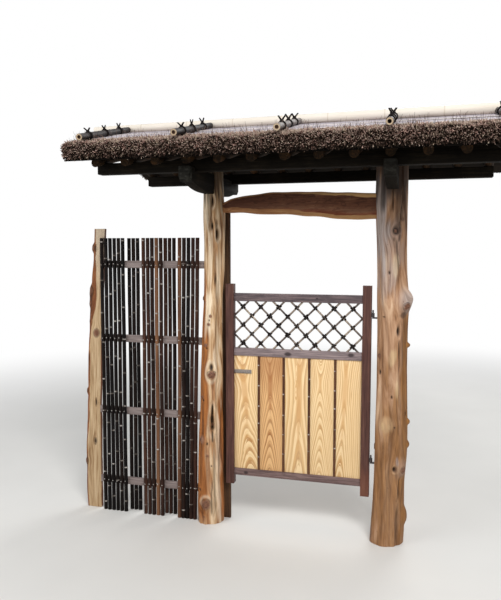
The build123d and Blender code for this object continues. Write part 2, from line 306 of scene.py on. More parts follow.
def attribute(tree, name, output="Fac"):
    return addNode(tree, "ShaderNodeAttribute", attribute_name=name).outputs[output]


def stretched(tree, place, scale, move=(0, 0, 0)):
    node = addNode(tree, "ShaderNodeMapping")
    tree.links.new(place, node.inputs["Vector"])
    node.inputs["Scale"].default_value = scale
    node.inputs["Location"].default_value = move
    return node.outputs["Vector"]


def noise(tree, place, scale=1.0, detail=4.0, rough=0.55, bend=0.0):
    node = addNode(tree, "ShaderNodeTexNoise")
    tree.links.new(place, node.inputs["Vector"])
    node.inputs["Scale"].default_value = scale
    node.inputs["Detail"].default_value = detail
    node.inputs["Roughness"].default_value = rough
    node.inputs["Distortion"].default_value = bend
    return node.outputs["Fac"]


def grainNoise(tree, place, stretch, detail=4.0, rough=0.55, bend=0.0, move=(0, 0, 0)):
    return noise(tree, stretched(tree, place, stretch, move), 1.0, detail, rough, bend)


def ramp(tree, factor, stops):
    node = addNode(tree, "ShaderNodeValToRGB")
    tree.links.new(factor, node.inputs["Fac"])
    elements = node.color_ramp.elements
    while len(elements) < len(stops):
        elements.new(0.5)
    for element, (position, colour) in zip(elements, stops):
        element.position = position
        element.color = colour
    return node.outputs["Color"]


def shadeRamp(tree, factor, *stops):
    # each stop is a position and a screen colour
    return ramp(tree, factor, [(position, shade(*colour)) for position, *colour in stops])


def level(tree, factor, low, high):
    # a soft threshold that gives 0 below low and 1 above high
    node = addNode(tree, "ShaderNodeMapRange", interpolation_type='SMOOTHSTEP')
    tree.links.new(factor, node.inputs["Value"])
    node.inputs["From Min"].default_value = low
    node.inputs["From Max"].default_value = high
    return node.outputs["Result"]


def mixed(tree, factor, first, second, blend='MIX'):
    node = addNode(tree, "ShaderNodeMix", data_type='RGBA', blend_type=blend)
    feed(tree, node.inputs[0], factor)
    feed(tree, node.inputs[6], first)
    feed(tree, node.inputs[7], second)
    return node.outputs[2]


def sums(tree, operation, first, second=0.0):
    node = addNode(tree, "ShaderNodeMath", operation=operation)
    feed(tree, node.inputs[0], first)
    feed(tree, node.inputs[1], second)
    return node.outputs[0]


def scaled(tree, value, share):
    return sums(tree, 'MULTIPLY', value, share)


def added(tree, first, second):
    return sums(tree, 'ADD', first, second)


def inverse(tree, value):
    return sums(tree, 'SUBTRACT', 1.0, value)


def centred(tree, value, amount):
    # noise that swings round nothing by the amount
    return scaled(tree, sums(tree, 'SUBTRACT', value, 0.5), amount)


def blended(tree, first, firstShare, second, secondShare):
    return added(tree, scaled(tree, first, firstShare), scaled(tree, second, secondShare))


def lengthOf(tree, place):
    node = addNode(tree, "ShaderNodeVectorMath", operation='LENGTH')
    tree.links.new(place, node.inputs[0])
    return node.outputs["Value"]


def drawn(tree, number):
    # a random value of its own for each whole number
    node = addNode(tree, "ShaderNodeTexWhiteNoise", noise_dimensions='1D')
    tree.links.new(sums(tree, 'FLOOR', number), node.inputs["W"])
    return node.outputs["Value"]


def splitPlace(tree, place):
    node = addNode(tree, "ShaderNodeSeparateXYZ")
    tree.links.new(place, node.inputs[0])
    return node.outputs


def coat(tree, shader, colour, height, distance, strength):
    # the colour of a surface, and its relief
    tree.links.new(colour, shader.inputs["Base Color"])
    node = addNode(tree, "ShaderNodeBump")
    tree.links.new(height, node.inputs["Height"])
    node.inputs["Distance"].default_value = distance
    node.inputs["Strength"].default_value = strength
    tree.links.new(node.outputs["Normal"], shader.inputs["Normal"])


# Camera, floor and light

view = {
    "place": (0.138, -3.560, 1.668),
    "downward": 0.0817,
    "leftward": 0.2612,
    "sensor": 36.0,
    "focalPixels": 625.65,
    "imageHeight": 600,
}
bpy.ops.object.camera_add(
    location=view["place"], rotation=(math.pi / 2 - view["downward"], 0, view["leftward"]))
camera = bpy.context.object
camera.data.sensor_width = view["sensor"]
camera.data.lens = view["sensor"] * view["focalPixels"] / view["imageHeight"]
bpy.context.scene.camera = camera
bpy.context.scene.view_settings.view_transform = 'Standard'

studio = {
    "floorSize": 60.0,
    "floorDrop": 0.001,
    "floorColour": shade(222, 220, 215),
    "fadeFrom": 3.0,
    "fadeTo": 8.0,
    "lamps": [
        # place, aim, size, watts
        ((1.5, -4.3, 5.4), (-0.6, 0.0, 1.0), 2.2, 272.0),
        ((-4.4, -3.4, 3.2), (-0.8, 0.0, 1.0), 3.0, 80.0),
        ((0.5, 4.5, 4.2), (-0.6, 0.0, 1.4), 3.0, 110.0),
    ],
    "skyColour": (0.92, 0.95, 1.0, 1.0),
    "skyStrength": 0.50,
}


def aimed(place, target):
    return (Vector(target) - Vector(place)).to_track_quat('-Z', 'Y').to_euler()


for place, target, size, watts in studio["lamps"]:
    bpy.ops.object.light_add(type='AREA', location=place, rotation=aimed(place, target))
    lamp = bpy.context.object.data
    lamp.shape = 'DISK'
    lamp.size = size
    lamp.energy = watts


def paleSky():
    world = bpy.data.worlds.new("studioSky")
    bpy.context.scene.world = world
    world.use_nodes = True
    tree = world.node_tree
    light = tree.nodes["Background"]
    light.inputs["Color"].default_value = studio["skyColour"]
    light.inputs["Strength"].default_value = studio["skyStrength"]
    white = addNode(tree, "ShaderNodeBackground")
    white.inputs["Color"].default_value = (1, 1, 1, 1)
    rays = addNode(tree, "ShaderNodeLightPath")
    seen = sums(tree, 'MAXIMUM', rays.outputs["Is Camera Ray"], rays.outputs["Is Glossy Ray"])
    seen = sums(tree, 'MAXIMUM', seen, rays.outputs["Is Transmission Ray"])
    either = addNode(tree, "ShaderNodeMixShader")
    tree.links.new(seen, either.inputs[0])
    tree.links.new(light.outputs[0], either.inputs[1])
    tree.links.new(white.outputs[0], either.inputs[2])
    tree.links.new(either.outputs[0], tree.nodes["World Output"].inputs["Surface"])


def paleFloor():
    # plain and pale with the gate's shadow, fading to the white backdrop far away
    material, tree, shader = newMaterial("paleFloor", 0.9)
    place = objectPlace(tree)
    cloudy = noise(tree, place, 1.5, 2.0)
    pale = studio["floorColour"]
    darker = tuple(0.96 * part for part in pale[:3]) + (1.0,)
    tree.links.new(ramp(tree, cloudy, [(0.3, darker), (0.7, pale)]), shader.inputs["Base Color"])
    far = level(tree, lengthOf(tree, place), studio["fadeFrom"], studio["fadeTo"])
    rays = addNode(tree, "ShaderNodeLightPath")
    fade = scaled(tree, far, rays.outputs["Is Camera Ray"])
    glow = addNode(tree, "ShaderNodeEmission")
    glow.inputs["Color"].default_value = (1, 1, 1, 1)
    both = addNode(tree, "ShaderNodeMixShader")
    tree.links.new(fade, both.inputs[0])
    tree.links.new(shader.outputs[0], both.inputs[1])
    tree.links.new(glow.outputs[0], both.inputs[2])
    tree.links.new(both.outputs[0], tree.nodes["Material Output"].inputs["Surface"])
    startClean()
    bpy.ops.mesh.primitive_plane_add(size=studio["floorSize"], location=(0, 0, -studio["floorDrop"]))
    floor = bpy.context.object
    floor.name = "paleFloor"
    floor.data.materials.append(material)


paleSky()
paleFloor()
print("camera, light and floor done")


# Finishes

def logFinish(name, tones):
    # bare twisted trunk: fibres follow the painted grain, hollows and grooves hold painted shade, knots are
    # brown
    tones = {key: shade(*tone) for key, tone in tones.items()}
    material, tree, shader = newMaterial(name, 0.6, 0.28)
    grain = attribute(tree, "grain", "Vector")
    fibres = grainNoise(tree, grain, (105, 105, 5), 8.0, 0.66, 0.5)
    patches = grainNoise(tree, grain, (13, 13, 2.6), 4.0, 0.62, 0.9)
    streaks = grainNoise(tree, grain, (60, 60, 1.8), 5.0, 0.6, 0.4)
    specks = grainNoise(tree, grain, (70, 70, 34), 3.0, 0.7)
    blend = blended(tree, fibres, 0.28, patches, 0.76)
    colour = ramp(tree, blend, [
        (0.38, tones["deep"]), (0.48, tones["warm"]), (0.56, tones["mid"]), (0.68, tones["light"])])
    colour = mixed(tree, scaled(tree, level(tree, streaks, 0.60, 0.74), 0.42), colour, tones["deep"])
    for key, deep, low, high in (("bark", "barkDeep", 0.34, 0.66), ("pale", "mid", 0.3, 0.55),
                                 ("silver", "silverDeep", 0.32, 0.6)):
        painted = ramp(tree, fibres, [(low, tones[deep]), (high, tones[key])])
        colour = mixed(tree, attribute(tree, key), colour, painted)
    # painted shade at the trunk's head, in the flute grooves and below knobs, mixed with streaks of dark wood
    colour = mixed(tree, scaled(tree, attribute(tree, "shadeAndDarkWood"), 0.8), colour, tones["shadeAndDarkWood"])
    colour = mixed(tree, level(tree, specks, 0.66, 0.78), colour, tones["deep"])
    stubs = grainNoise(tree, objectPlace(tree), (150, 150, 150), 4.0, 0.7)
    stubTone = shadeRamp(tree, stubs, (0.36, 86, 54, 40), (0.55, 132, 90, 68), (0.7, 166, 124, 100))
    colour = mixed(tree, attribute(tree, "knot"), colour, stubTone)
    # painted shade in grooves, holes and round knots, and the dark edges of the knots
    colour = mixed(tree, attribute(tree, "hollow"), colour, shade(30, 16, 9))
    coat(tree, shader, colour, added(tree, fibres, scaled(tree, patches, 1.6)), 0.0026, 1.0)
    return material


def streakWood(name, dark, mid, pale, axis, roughness=0.7, depth=0.0006):
    # sawn or planed wood with its fibres along one axis
    material, tree, shader = newMaterial(name, roughness)
    place = objectPlace(tree)
    thin = [120.0, 120.0, 120.0]
    thin[axis] /= 22
    wide = [18.0, 18.0, 18.0]
    wide[axis] = 2.0
    fibres = grainNoise(tree, place, thin, 6.0, 0.65, 0.3)
    patches = grainNoise(tree, place, wide, 3.0, 0.55, 0.5)
    blend = blended(tree, fibres, 0.6, patches, 0.4)
    colour = shadeRamp(tree, blend, (0.36, *dark), (0.5, *mid), (0.64, *pale))
    coat(tree, shader, colour, fibres, depth, 0.8)
    return material


# along the gate, height and half width
railKnots = [(-0.590, 1.050, 0.026), (-0.222, 1.060, 0.024), (-0.846, 0.312, 0.018), (-0.42, 1.382, 0.009)]


def railFinish(name, dark, mid, pale):
    # washed-out stain with dark knots and smoky blotches
    material, tree, shader = newMaterial(name, 0.6)
    place = objectPlace(tree)
    fibres = grainNoise(tree, place, (6, 150, 150), 6.0, 0.65, 0.3)
    blotches = grainNoise(tree, place, (9, 30, 34), 3.0, 0.6, 0.6)
    colour = shadeRamp(tree, fibres, (0.34, *dark), (0.5, *mid), (0.66, *pale))
    colour = mixed(tree, scaled(tree, level(tree, blotches, 0.5, 0.66), 0.6), colour, shade(*dark))
    for x, z, half in railKnots:
        near = stretched(tree, place, (1 / half, 0, 1.5 / half), (-x / half, 0, -1.5 * z / half))
        spread = added(tree, lengthOf(tree, near), scaled(tree, blotches, 0.8))
        spot = inverse(tree, level(tree, spread, 0.8, 1.5))
        colour = mixed(tree, scaled(tree, spot, 0.85), colour, shade(44, 34, 36))
    coat(tree, shader, colour, fibres, 0.0005, 0.8)
    return material


def wornFoot(material, below, tone):
    # rubbed to a warmer colour towards the foot
    tree = material.node_tree
    socket = tree.nodes["Principled BSDF"].inputs["Base Color"]
    plain = socket.links[0].from_socket
    place = objectPlace(tree)
    rubbed = scaled(tree, grainNoise(tree, place, (40, 40, 9), 3.0, 0.6), 0.2)
    height = added(tree, splitPlace(tree, place)[2], sums(tree, 'SUBTRACT', rubbed, 0.1))
    worn = inverse(tree, level(tree, height, below - 0.16, below))
    tree.links.new(mixed(tree, scaled(tree, worn, 0.28), plain, tone), socket)
    return material


def beamFinish(name, axis, endPlace=None, greyed=1.0):
    # dark weathered timber, darkened further by painted shade under the roof; its ends, past endPlace along
    # Y, are silver grey
    material, tree, shader = newMaterial(name, 0.8, 0.08)
    place = objectPlace(tree)
    thin = [130.0, 130.0, 130.0]
    thin[axis] = 6.0
    fibres = grainNoise(tree, place, thin, 6.0, 0.65, 0.3)
    patches = noise(tree, place, 7.0, 3.0, 0.6)
    blend = blended(tree, fibres, 0.6, patches, 0.4)
    colour = shadeRamp(tree, blend, (0.34, 10, 8, 6), (0.52, 22, 18, 13), (0.68, 42, 35, 26))
    if endPlace:
        away = sums(tree, 'ABSOLUTE', splitPlace(tree, place)[1])
        grain = grainNoise(tree, place, (30, 30, 60), 4.0, 0.55, 0.8)
        grey = shadeRamp(tree, grain, (0.35, 26, 25, 22), (0.5, 38, 37, 33), (0.66, 58, 57, 53))
        worn = level(tree, added(tree, away, scaled(tree, patches, 0.02)), endPlace, endPlace + 0.01)
        colour = mixed(tree, scaled(tree, worn, greyed), colour, grey)
    coat(tree, shader, colour, fibres, 0.0012, 0.9)
    return material


def plankFinish(name, width):
    # the underside of the roof: dark planks laid along the gate, with open joints; part of their darkness is
    # painted shade under the roof
    material, tree, shader = newMaterial(name, 0.85, 0.06)
    place = objectPlace(tree)
    fibres = grainNoise(tree, place, (7, 140, 140), 6.0, 0.65, 0.2)
    across = sums(tree, 'DIVIDE', splitPlace(tree, place)[1], width)
    part = sums(tree, 'FRACT', across)
    edge = sums(tree, 'MINIMUM', part, inverse(tree, part))
    joint = level(tree, edge, 0.012, 0.03)
    blend = blended(tree, fibres, 0.7, drawn(tree, across), 0.3)
    colour = shadeRamp(tree, blend, (0.3, 10, 8, 6), (0.5, 22, 17, 12), (0.7, 38, 30, 22))
    colour = mixed(tree, joint, shade(10, 7, 5), colour)
    coat(tree, shader, colour, added(tree, fibres, joint), 0.001, 0.9)
    return material


def lintelFinish():
    # red heartwood with a pale border of sapwood along both natural edges
    material, tree, shader = newMaterial("lintelWood", 0.65, 0.15)
    place = objectPlace(tree)
    fibres = grainNoise(tree, place, (7, 110, 110), 7.0, 0.68, 0.5)
    chops = grainNoise(tree, place, (28, 60, 75), 3.0, 0.6, 0.6)
    patches = grainNoise(tree, place, (5, 20, 22), 3.0, 0.6, 0.4)
    heart = shadeRamp(tree, fibres,
        (0.32, 54, 30, 20), (0.46, 90, 54, 37), (0.58, 118, 77, 54), (0.72, 154, 112, 82))
    heart = mixed(tree, level(tree, chops, 0.52, 0.64), heart, shade(62, 32, 21))
    heart = mixed(tree, scaled(tree, level(tree, patches, 0.50, 0.62), 0.35), heart, shade(140, 100, 74))
    # redder at the foot, pinkish above it, and painted shade from the roof under the top edge
    height = added(tree, attribute(tree, "heightShare"), scaled(tree, patches, 0.30))
    graded = shadeRamp(tree, height,
        (0.30, 130, 62, 38), (0.46, 132, 95, 73), (0.62, 90, 56, 40), (0.98, 60, 33, 21))
    heart = mixed(tree, 0.48, heart, graded)
    # painted shade, darker towards the left post
    x, _, z = splitPlace(tree, place)
    shaded = inverse(tree, level(tree, x, -0.95, -0.50))
    heart = mixed(tree, scaled(tree, shaded, 0.62), heart, shade(60, 28, 17))
    # painted light: the sapwood is paler to the right, most of all along the top
    sap = shadeRamp(tree, fibres, (0.3, 112, 72, 44), (0.52, 148, 102, 66), (0.72, 176, 134, 92))
    upper = added(tree, 0.55, scaled(tree, level(tree, z, 1.90, 1.94), 0.45))
    paintedLight = scaled(tree, level(tree, x, -0.75, -0.30), upper)
    sap = mixed(tree, paintedLight, sap, shade(184, 143, 95))
    rim = added(tree, attribute(tree, "rim"), scaled(tree, patches, 0.34))
    colour = mixed(tree, level(tree, rim, 0.89, 0.95), heart, sap)
    coat(tree, shader, colour, added(tree, fibres, chops), 0.0016, 0.9)
    return material


def halfLogFinish():
    # sawn face in front, bark round the back and sides
    material, tree, shader = newMaterial("endPostWood", 0.62)
    place = attribute(tree, "grain", "Vector")
    fibres = grainNoise(tree, place, (120, 120, 4), 7.0, 0.64, 0.5)
    patches = grainNoise(tree, place, (18, 18, 3), 3.0, 0.6, 0.8)
    blend = blended(tree, fibres, 0.6, patches, 0.42)
    sawn = shadeRamp(tree, blend,
        (0.38, 124, 92, 60), (0.47, 166, 136, 100), (0.56, 190, 163, 128), (0.68, 210, 188, 156))
    # paler towards the top of the face
    paleTop = scaled(tree, level(tree, splitPlace(tree, objectPlace(tree))[2], 1.30, 1.75), 0.55)
    sawn = mixed(tree, paleTop, sawn, shade(218, 202, 180))
    bark = shadeRamp(tree, blend,
        (0.38, 70, 38, 22), (0.5, 116, 68, 38), (0.62, 150, 94, 54), (0.7, 178, 130, 92))
    colour = mixed(tree, level(tree, attribute(tree, "bark"), 0.25, 0.6), sawn, bark)
    stubTone = shadeRamp(tree, fibres, (0.36, 92, 58, 42), (0.64, 146, 104, 80))
    colour = mixed(tree, attribute(tree, "knot"), colour, stubTone)
    # painted shade in the sunk knots, and the dark edges of the knots
    colour = mixed(tree, attribute(tree, "hollow"), colour, shade(36, 20, 12))
    coat(tree, shader, colour, fibres, 0.0012, 0.9)
    return material


def growthRings(tree, place, grain, sideways, up):
    # nested cones, which the face cuts into tall arches; an island is a mound in them
    squared = added(tree, scaled(tree, sideways, sideways), grain["depth"] ** 2)
    ring = sums(tree, 'SUBTRACT', sums(tree, 'SQRT', squared), scaled(tree, up, grain["taper"]))
    ring = sums(tree, 'SUBTRACT', ring, grain["depth"] - grain["waist"] * grain["taper"])
    ring = scaled(tree, ring, 1 / (grain["taper"] * grain["spacing"]))
    for dx, dz, half, tall, lift in grain["islands"]:
        near = stretched(tree, place, (1 / half, 0, 1 / tall), (-dx / half, 0, -dz / tall))
        mound = inverse(tree, level(tree, lengthOf(tree, near), 0.0, 1.0))
        ring = added(tree, ring, scaled(tree, mound, lift))
    return ring


def ringCount(tree, place, grain, ring, own):
    # years of unlike width, and rings that waver; the count stays above nothing
    years = addNode(tree, "ShaderNodeTexNoise", noise_dimensions='1D')
    tree.links.new(added(tree, scaled(tree, ring, 0.9), grain["seed"]), years.inputs["W"])
    years.inputs["Detail"].default_value = 1.0
    warp = grainNoise(tree, place, (16, 16, 3.2), 2.0, 0.5, move=own)
    shiver = grainNoise(tree, place, (60, 60, 9), 2.0, 0.5, move=own)
    counted = added(tree, ring, centred(tree, years.outputs["Fac"], 0.7))
    counted = added(tree, counted, centred(tree, warp, grain["warp"]))
    counted = added(tree, counted, centred(tree, shiver, 0.26))
    return added(tree, counted, 40.0 + grain["start"])


def ringColour(tree, counted, turns, grain):
    colour = ramp(tree, turns, [
        (0.0, grain["pale"]), (0.07, grain["dark"]), (0.38, grain["mid"]),
        (0.70, grain["pale"]), (1.0, grain["pale"])])
    # each ring has its own depth of colour, and thin lines run between the rings
    faint = scaled(tree, inverse(tree, drawn(tree, counted)), 0.36)
    colour = mixed(tree, faint, colour, grain["pale"])
    thin = sums(tree, 'FRACT', scaled(tree, counted, 3.0))
    line = scaled(tree, inverse(tree, level(tree, thin, 0.02, 0.45)), grain["fine"])
    return mixed(tree, line, colour, grain["mid"])


def boardFinish(name, grain):
    # flat-sawn cedar with its growth rings round the heart
    material, tree, shader = newMaterial(name, 0.5, 0.3)
    place = stretched(tree, objectPlace(tree), (1, 1, 1), (-grain["heart"][0], 0, -grain["heart"][1]))
    own = (grain["seed"], 0, grain["seed"])
    x, _, z = splitPlace(tree, place)
    wide = grainNoise(tree, place, (3, 3, 3.0), 2.0, 0.5, move=own)
    sideways = added(tree, x, centred(tree, wide, grain["wander"]))
    sideways = added(tree, sideways, scaled(tree, z, -grain["lean"]))
    up = sums(tree, 'SQRT', added(tree, scaled(tree, z, z), grain["waist"] ** 2))
    ring = growthRings(tree, place, grain, sideways, up)
    counted = ringCount(tree, place, grain, ring, own)
    turns = sums(tree, 'FRACT', counted)
    colour = ringColour(tree, counted, turns, grain)
    # quieter sides, then uneven and fibrous
    aside = level(tree, sums(tree, 'ABSOLUTE', sideways), 0.022, 0.060)
    uneven = grainNoise(tree, place, (26, 26, 2.2), 2.0, 0.5, move=own)
    fibres = grainNoise(tree, place, (300, 300, 8), 4.0, 0.6)
    colour = mixed(tree, scaled(tree, aside, 0.30), colour, grain["side"])
    colour = mixed(tree, scaled(tree, level(tree, uneven, 0.46, 0.70), 0.25), colour, grain["pale"])
    colour = mixed(tree, scaled(tree, level(tree, fibres, 0.45, 0.75), 0.22), colour, grain["mid"])
    # the column between the upper and lower arches is plain and browner
    beside = added(tree, sums(tree, 'ABSOLUTE', sideways), scaled(tree, up, grain["column"]))
    plain = inverse(tree, level(tree, beside, 0.016, 0.030))
    colour = mixed(tree, scaled(tree, plain, 0.6), colour, grain["heartTone"])
    browner = level(tree, z, grain["brownAbove"], grain["brownAbove"] + 0.2)
    colour = mixed(tree, scaled(tree, browner, 0.45), colour, grain["dark"])
    coat(tree, shader, colour, added(tree, turns, fibres), 0.00025, 0.5)
    return material


def culmFinish(name, skin, ring, axis=2, roughness=0.38, gloss=0.16):
    # bamboo skin: fine streaks, its own tone for each culm and a bloom at each node ring
    material, tree, shader = newMaterial(name, roughness, gloss)
    place = objectPlace(tree)
    thin = [240.0, 240.0, 240.0]
    thin[axis] = 5.0
    wide = [30.0, 30.0, 30.0]
    wide[axis] = 3.0
    streaks = grainNoise(tree, place, thin, 4.0, 0.6)
    patches = grainNoise(tree, place, wide, 3.0, 0.6)
    blend = blended(tree, streaks, 0.3, patches, 0.3)
    blend = added(tree, blend, scaled(tree, attribute(tree, "tone"), 0.5))
    colour = shadeRamp(tree, blend, *skin)
    colour = mixed(tree, attribute(tree, "ring"), colour, ring)
    colour = mixed(tree, attribute(tree, "bud"), colour, shade(206, 198, 190))
    colour = mixed(tree, attribute(tree, "cutEnd"), colour, shade(190, 166, 136))
    colour = mixed(tree, attribute(tree, "bore"), colour, shade(74, 50, 38))
    coat(tree, shader, colour, streaks, 0.0003, 0.6)
    return material


def twigFinish():
    material, tree, shader = newMaterial("twigThatch", 0.85, 0.1)
    colour = shadeRamp(tree, attribute(tree, "tone"),
        (0.0, 19, 15, 11), (0.25, 60, 48, 41), (0.5, 124, 102, 92), (0.75, 178, 155, 145),
        (1.0, 220, 204, 188))
    # some tufts are reddish and some olive
    tufts = noise(tree, objectPlace(tree), 38.0, 3.0, 0.6)
    tint = shadeRamp(tree, tufts, (0.38, 250, 250, 226), (0.5, 255, 252, 248), (0.62, 255, 218, 210))
    colour = mixed(tree, 0.6, colour, tint, 'MULTIPLY')
    coat(tree, shader, colour, noise(tree, objectPlace(tree), 900.0, 2.0), 0.0004, 0.6)
    return material


def bedFinish():
    # the dark core under the twigs is painted shade deep in the thatch
    material, tree, shader = newMaterial("thatchBed", 0.95, 0.03)
    place = objectPlace(tree)
    crumbs = noise(tree, place, 220.0, 4.0, 0.7)
    colour = shadeRamp(tree, crumbs, (0.35, 10, 7, 5), (0.55, 28, 20, 16), (0.75, 58, 44, 36))
    coat(tree, shader, colour, crumbs, 0.004, 1.0)
    return material


def barkSheetFinish():
    material, tree, shader = newMaterial("barkSheet", 0.8, 0.12)
    place = objectPlace(tree)
    streaks = grainNoise(tree, place, (7, 110, 110), 7.0, 0.65, 0.6)
    patches = grainNoise(tree, place, (3, 18, 18), 3.0, 0.6)
    blend = blended(tree, streaks, 0.7, patches, 0.3)
    colour = shadeRamp(tree, blend,
        (0.34, 112, 101, 101), (0.48, 170, 161, 165), (0.6, 202, 194, 199), (0.72, 222, 215, 217))
    # painted highlight along the lower edge of each sheet
    edgeHighlight = added(tree, attribute(tree, "edge"), scaled(tree, patches, 0.6))
    colour = mixed(tree, scaled(tree, level(tree, edgeHighlight, 0.75, 1.15), 0.8), colour, shade(222, 214, 208))
    coat(tree, shader, colour, streaks, 0.0016, 1.0)
    return material


def twineFinish():
    material, tree, shader = newMaterial("palmTwine", 0.85, 0.08)
    fuzz = noise(tree, objectPlace(tree), 600.0, 3.0, 0.7)
    colour = shadeRamp(tree, fuzz, (0.35, 13, 11, 11), (0.7, 38, 33, 32))
    coat(tree, shader, colour, fuzz, 0.0008, 1.0)
    return material


def ironFinish(name, dark, pale, roughness=0.55):
    material, tree, shader = newMaterial(name, roughness, 0.3)
    pitting = noise(tree, objectPlace(tree), 260.0, 4.0, 0.65)
    rust = noise(tree, objectPlace(tree), 45.0, 3.0, 0.6)
    colour = ramp(tree, pitting, [(0.35, dark), (0.65, pale)])
    colour = mixed(tree, level(tree, rust, 0.55, 0.75), colour, shade(96, 62, 44))
    coat(tree, shader, colour, pitting, 0.0004, 0.7)
    shader.inputs["Metallic"].default_value = 0.55
    return material


stileTones = (60, 37, 34), (86, 57, 50), (110, 77, 65)
finishes = {
    "rightLog": logFinish("rightPostWood", {
        "light": (214, 180, 148), "mid": (184, 144, 112), "warm": (156, 115, 82),
        "deep": (98, 66, 44), "bark": (160, 112, 62), "barkDeep": (96, 60, 31), "pale": (220, 192, 148),
        "silver": (180, 168, 163), "silverDeep": (118, 104, 96), "shadeAndDarkWood": (58, 38, 28)}),
    "leftLog": logFinish("leftPostWood", {
        "light": (238, 216, 184), "mid": (212, 180, 142), "warm": (178, 136, 94),
        "deep": (110, 72, 44), "bark": (182, 114, 56), "barkDeep": (102, 56, 25), "pale": (250, 234, 206),
        "silver": (206, 182, 166), "silverDeep": (140, 108, 90), "shadeAndDarkWood": (90, 56, 32)}),
    "lintel": lintelFinish(),
    "endPost": halfLogFinish(),
    "leftArm": beamFinish("leftArmWood", 1, 0.43),
    "rightArm": beamFinish("rightArmWood", 1, 0.43, 0.5),
    "longBeam": beamFinish("longBeamWood", 0),
    "roofPlanks": plankFinish("roofPlankWood", 0.14),
    "rafter": streakWood("rafterWood", (24, 17, 9), (47, 32, 17), (80, 53, 27), 1, 0.75, 0.001),
    "fenceRail": streakWood("fenceRailWood", (96, 85, 81), (126, 113, 109), (152, 139, 135), 0),
    "doorStile": streakWood("doorStileWood", *stileTones, 2, 0.5, 0.0004),
    "hingeStile": wornFoot(
        streakWood("hingeStileWood", *stileTones, 2, 0.5, 0.0004), 0.46, shade(140, 84, 56)),
    "topRail": railFinish("topRailWood", (70, 62, 65), (98, 85, 87), (124, 107, 106)),
    "midRail": railFinish("midRailWood", (104, 92, 93), (134, 119, 119), (160, 143, 141)),
    "bottomRail": railFinish("bottomRailWood", (82, 66, 64), (114, 92, 89), (142, 118, 112)),
    "doorStop": streakWood("doorStopWood", (46, 30, 20), (72, 50, 34), (98, 70, 46), 2),
    "paleCulm": culmFinish("paleBamboo", [
        (0.40, 210, 199, 182), (0.54, 222, 213, 199), (0.68, 229, 222, 211)], shade(200, 187, 168), 0, 0.4),
    "greyCulm": culmFinish("greyBamboo", [
        (0.34, 30, 27, 28), (0.46, 58, 53, 52), (0.62, 122, 114, 110)], shade(104, 96, 92), 1, 0.55),
    "darkCulm": culmFinish("darkBamboo", [
        (0.32, 13, 10, 10), (0.42, 26, 18, 15), (0.52, 52, 33, 26), (0.62, 82, 53, 40),
        (0.76, 132, 94, 66)], shade(110, 100, 92), 2, 0.48, 0.09),
    "latticeCulm": culmFinish("latticeBamboo", [
        (0.36, 44, 36, 34), (0.5, 92, 80, 74), (0.66, 146, 130, 116), (0.8, 188, 172, 152)],
        shade(122, 110, 100), 2, 0.34),
    "twigs": twigFinish(),
    "bed": bedFinish(),
    "barkSheet": barkSheetFinish(),
    "twine": twineFinish(),
    "iron": ironFinish("hingeIron", shade(40, 38, 40), shade(92, 88, 88)),
    "latch": ironFinish("latchBar", shade(112, 105, 100), shade(160, 152, 145), 0.6),
    "nail": ironFinish("nailHead", shade(150, 144, 138), shade(206, 202, 196), 0.5),
}
print("finishes done")


# The two trunks

def trunkLine(share, levels):
    # lean and girth of the trunk at each height, eased between the levels
    shares, leans, girths = np.array(levels).T
    soft = np.array([-0.02, -0.01, 0.0, 0.01, 0.02])
    near = np.clip(share[:, None] + soft, 0, 1)
    return np.interp(near, shares, leans).mean(1), np.interp(near, shares, girths).mean(1)


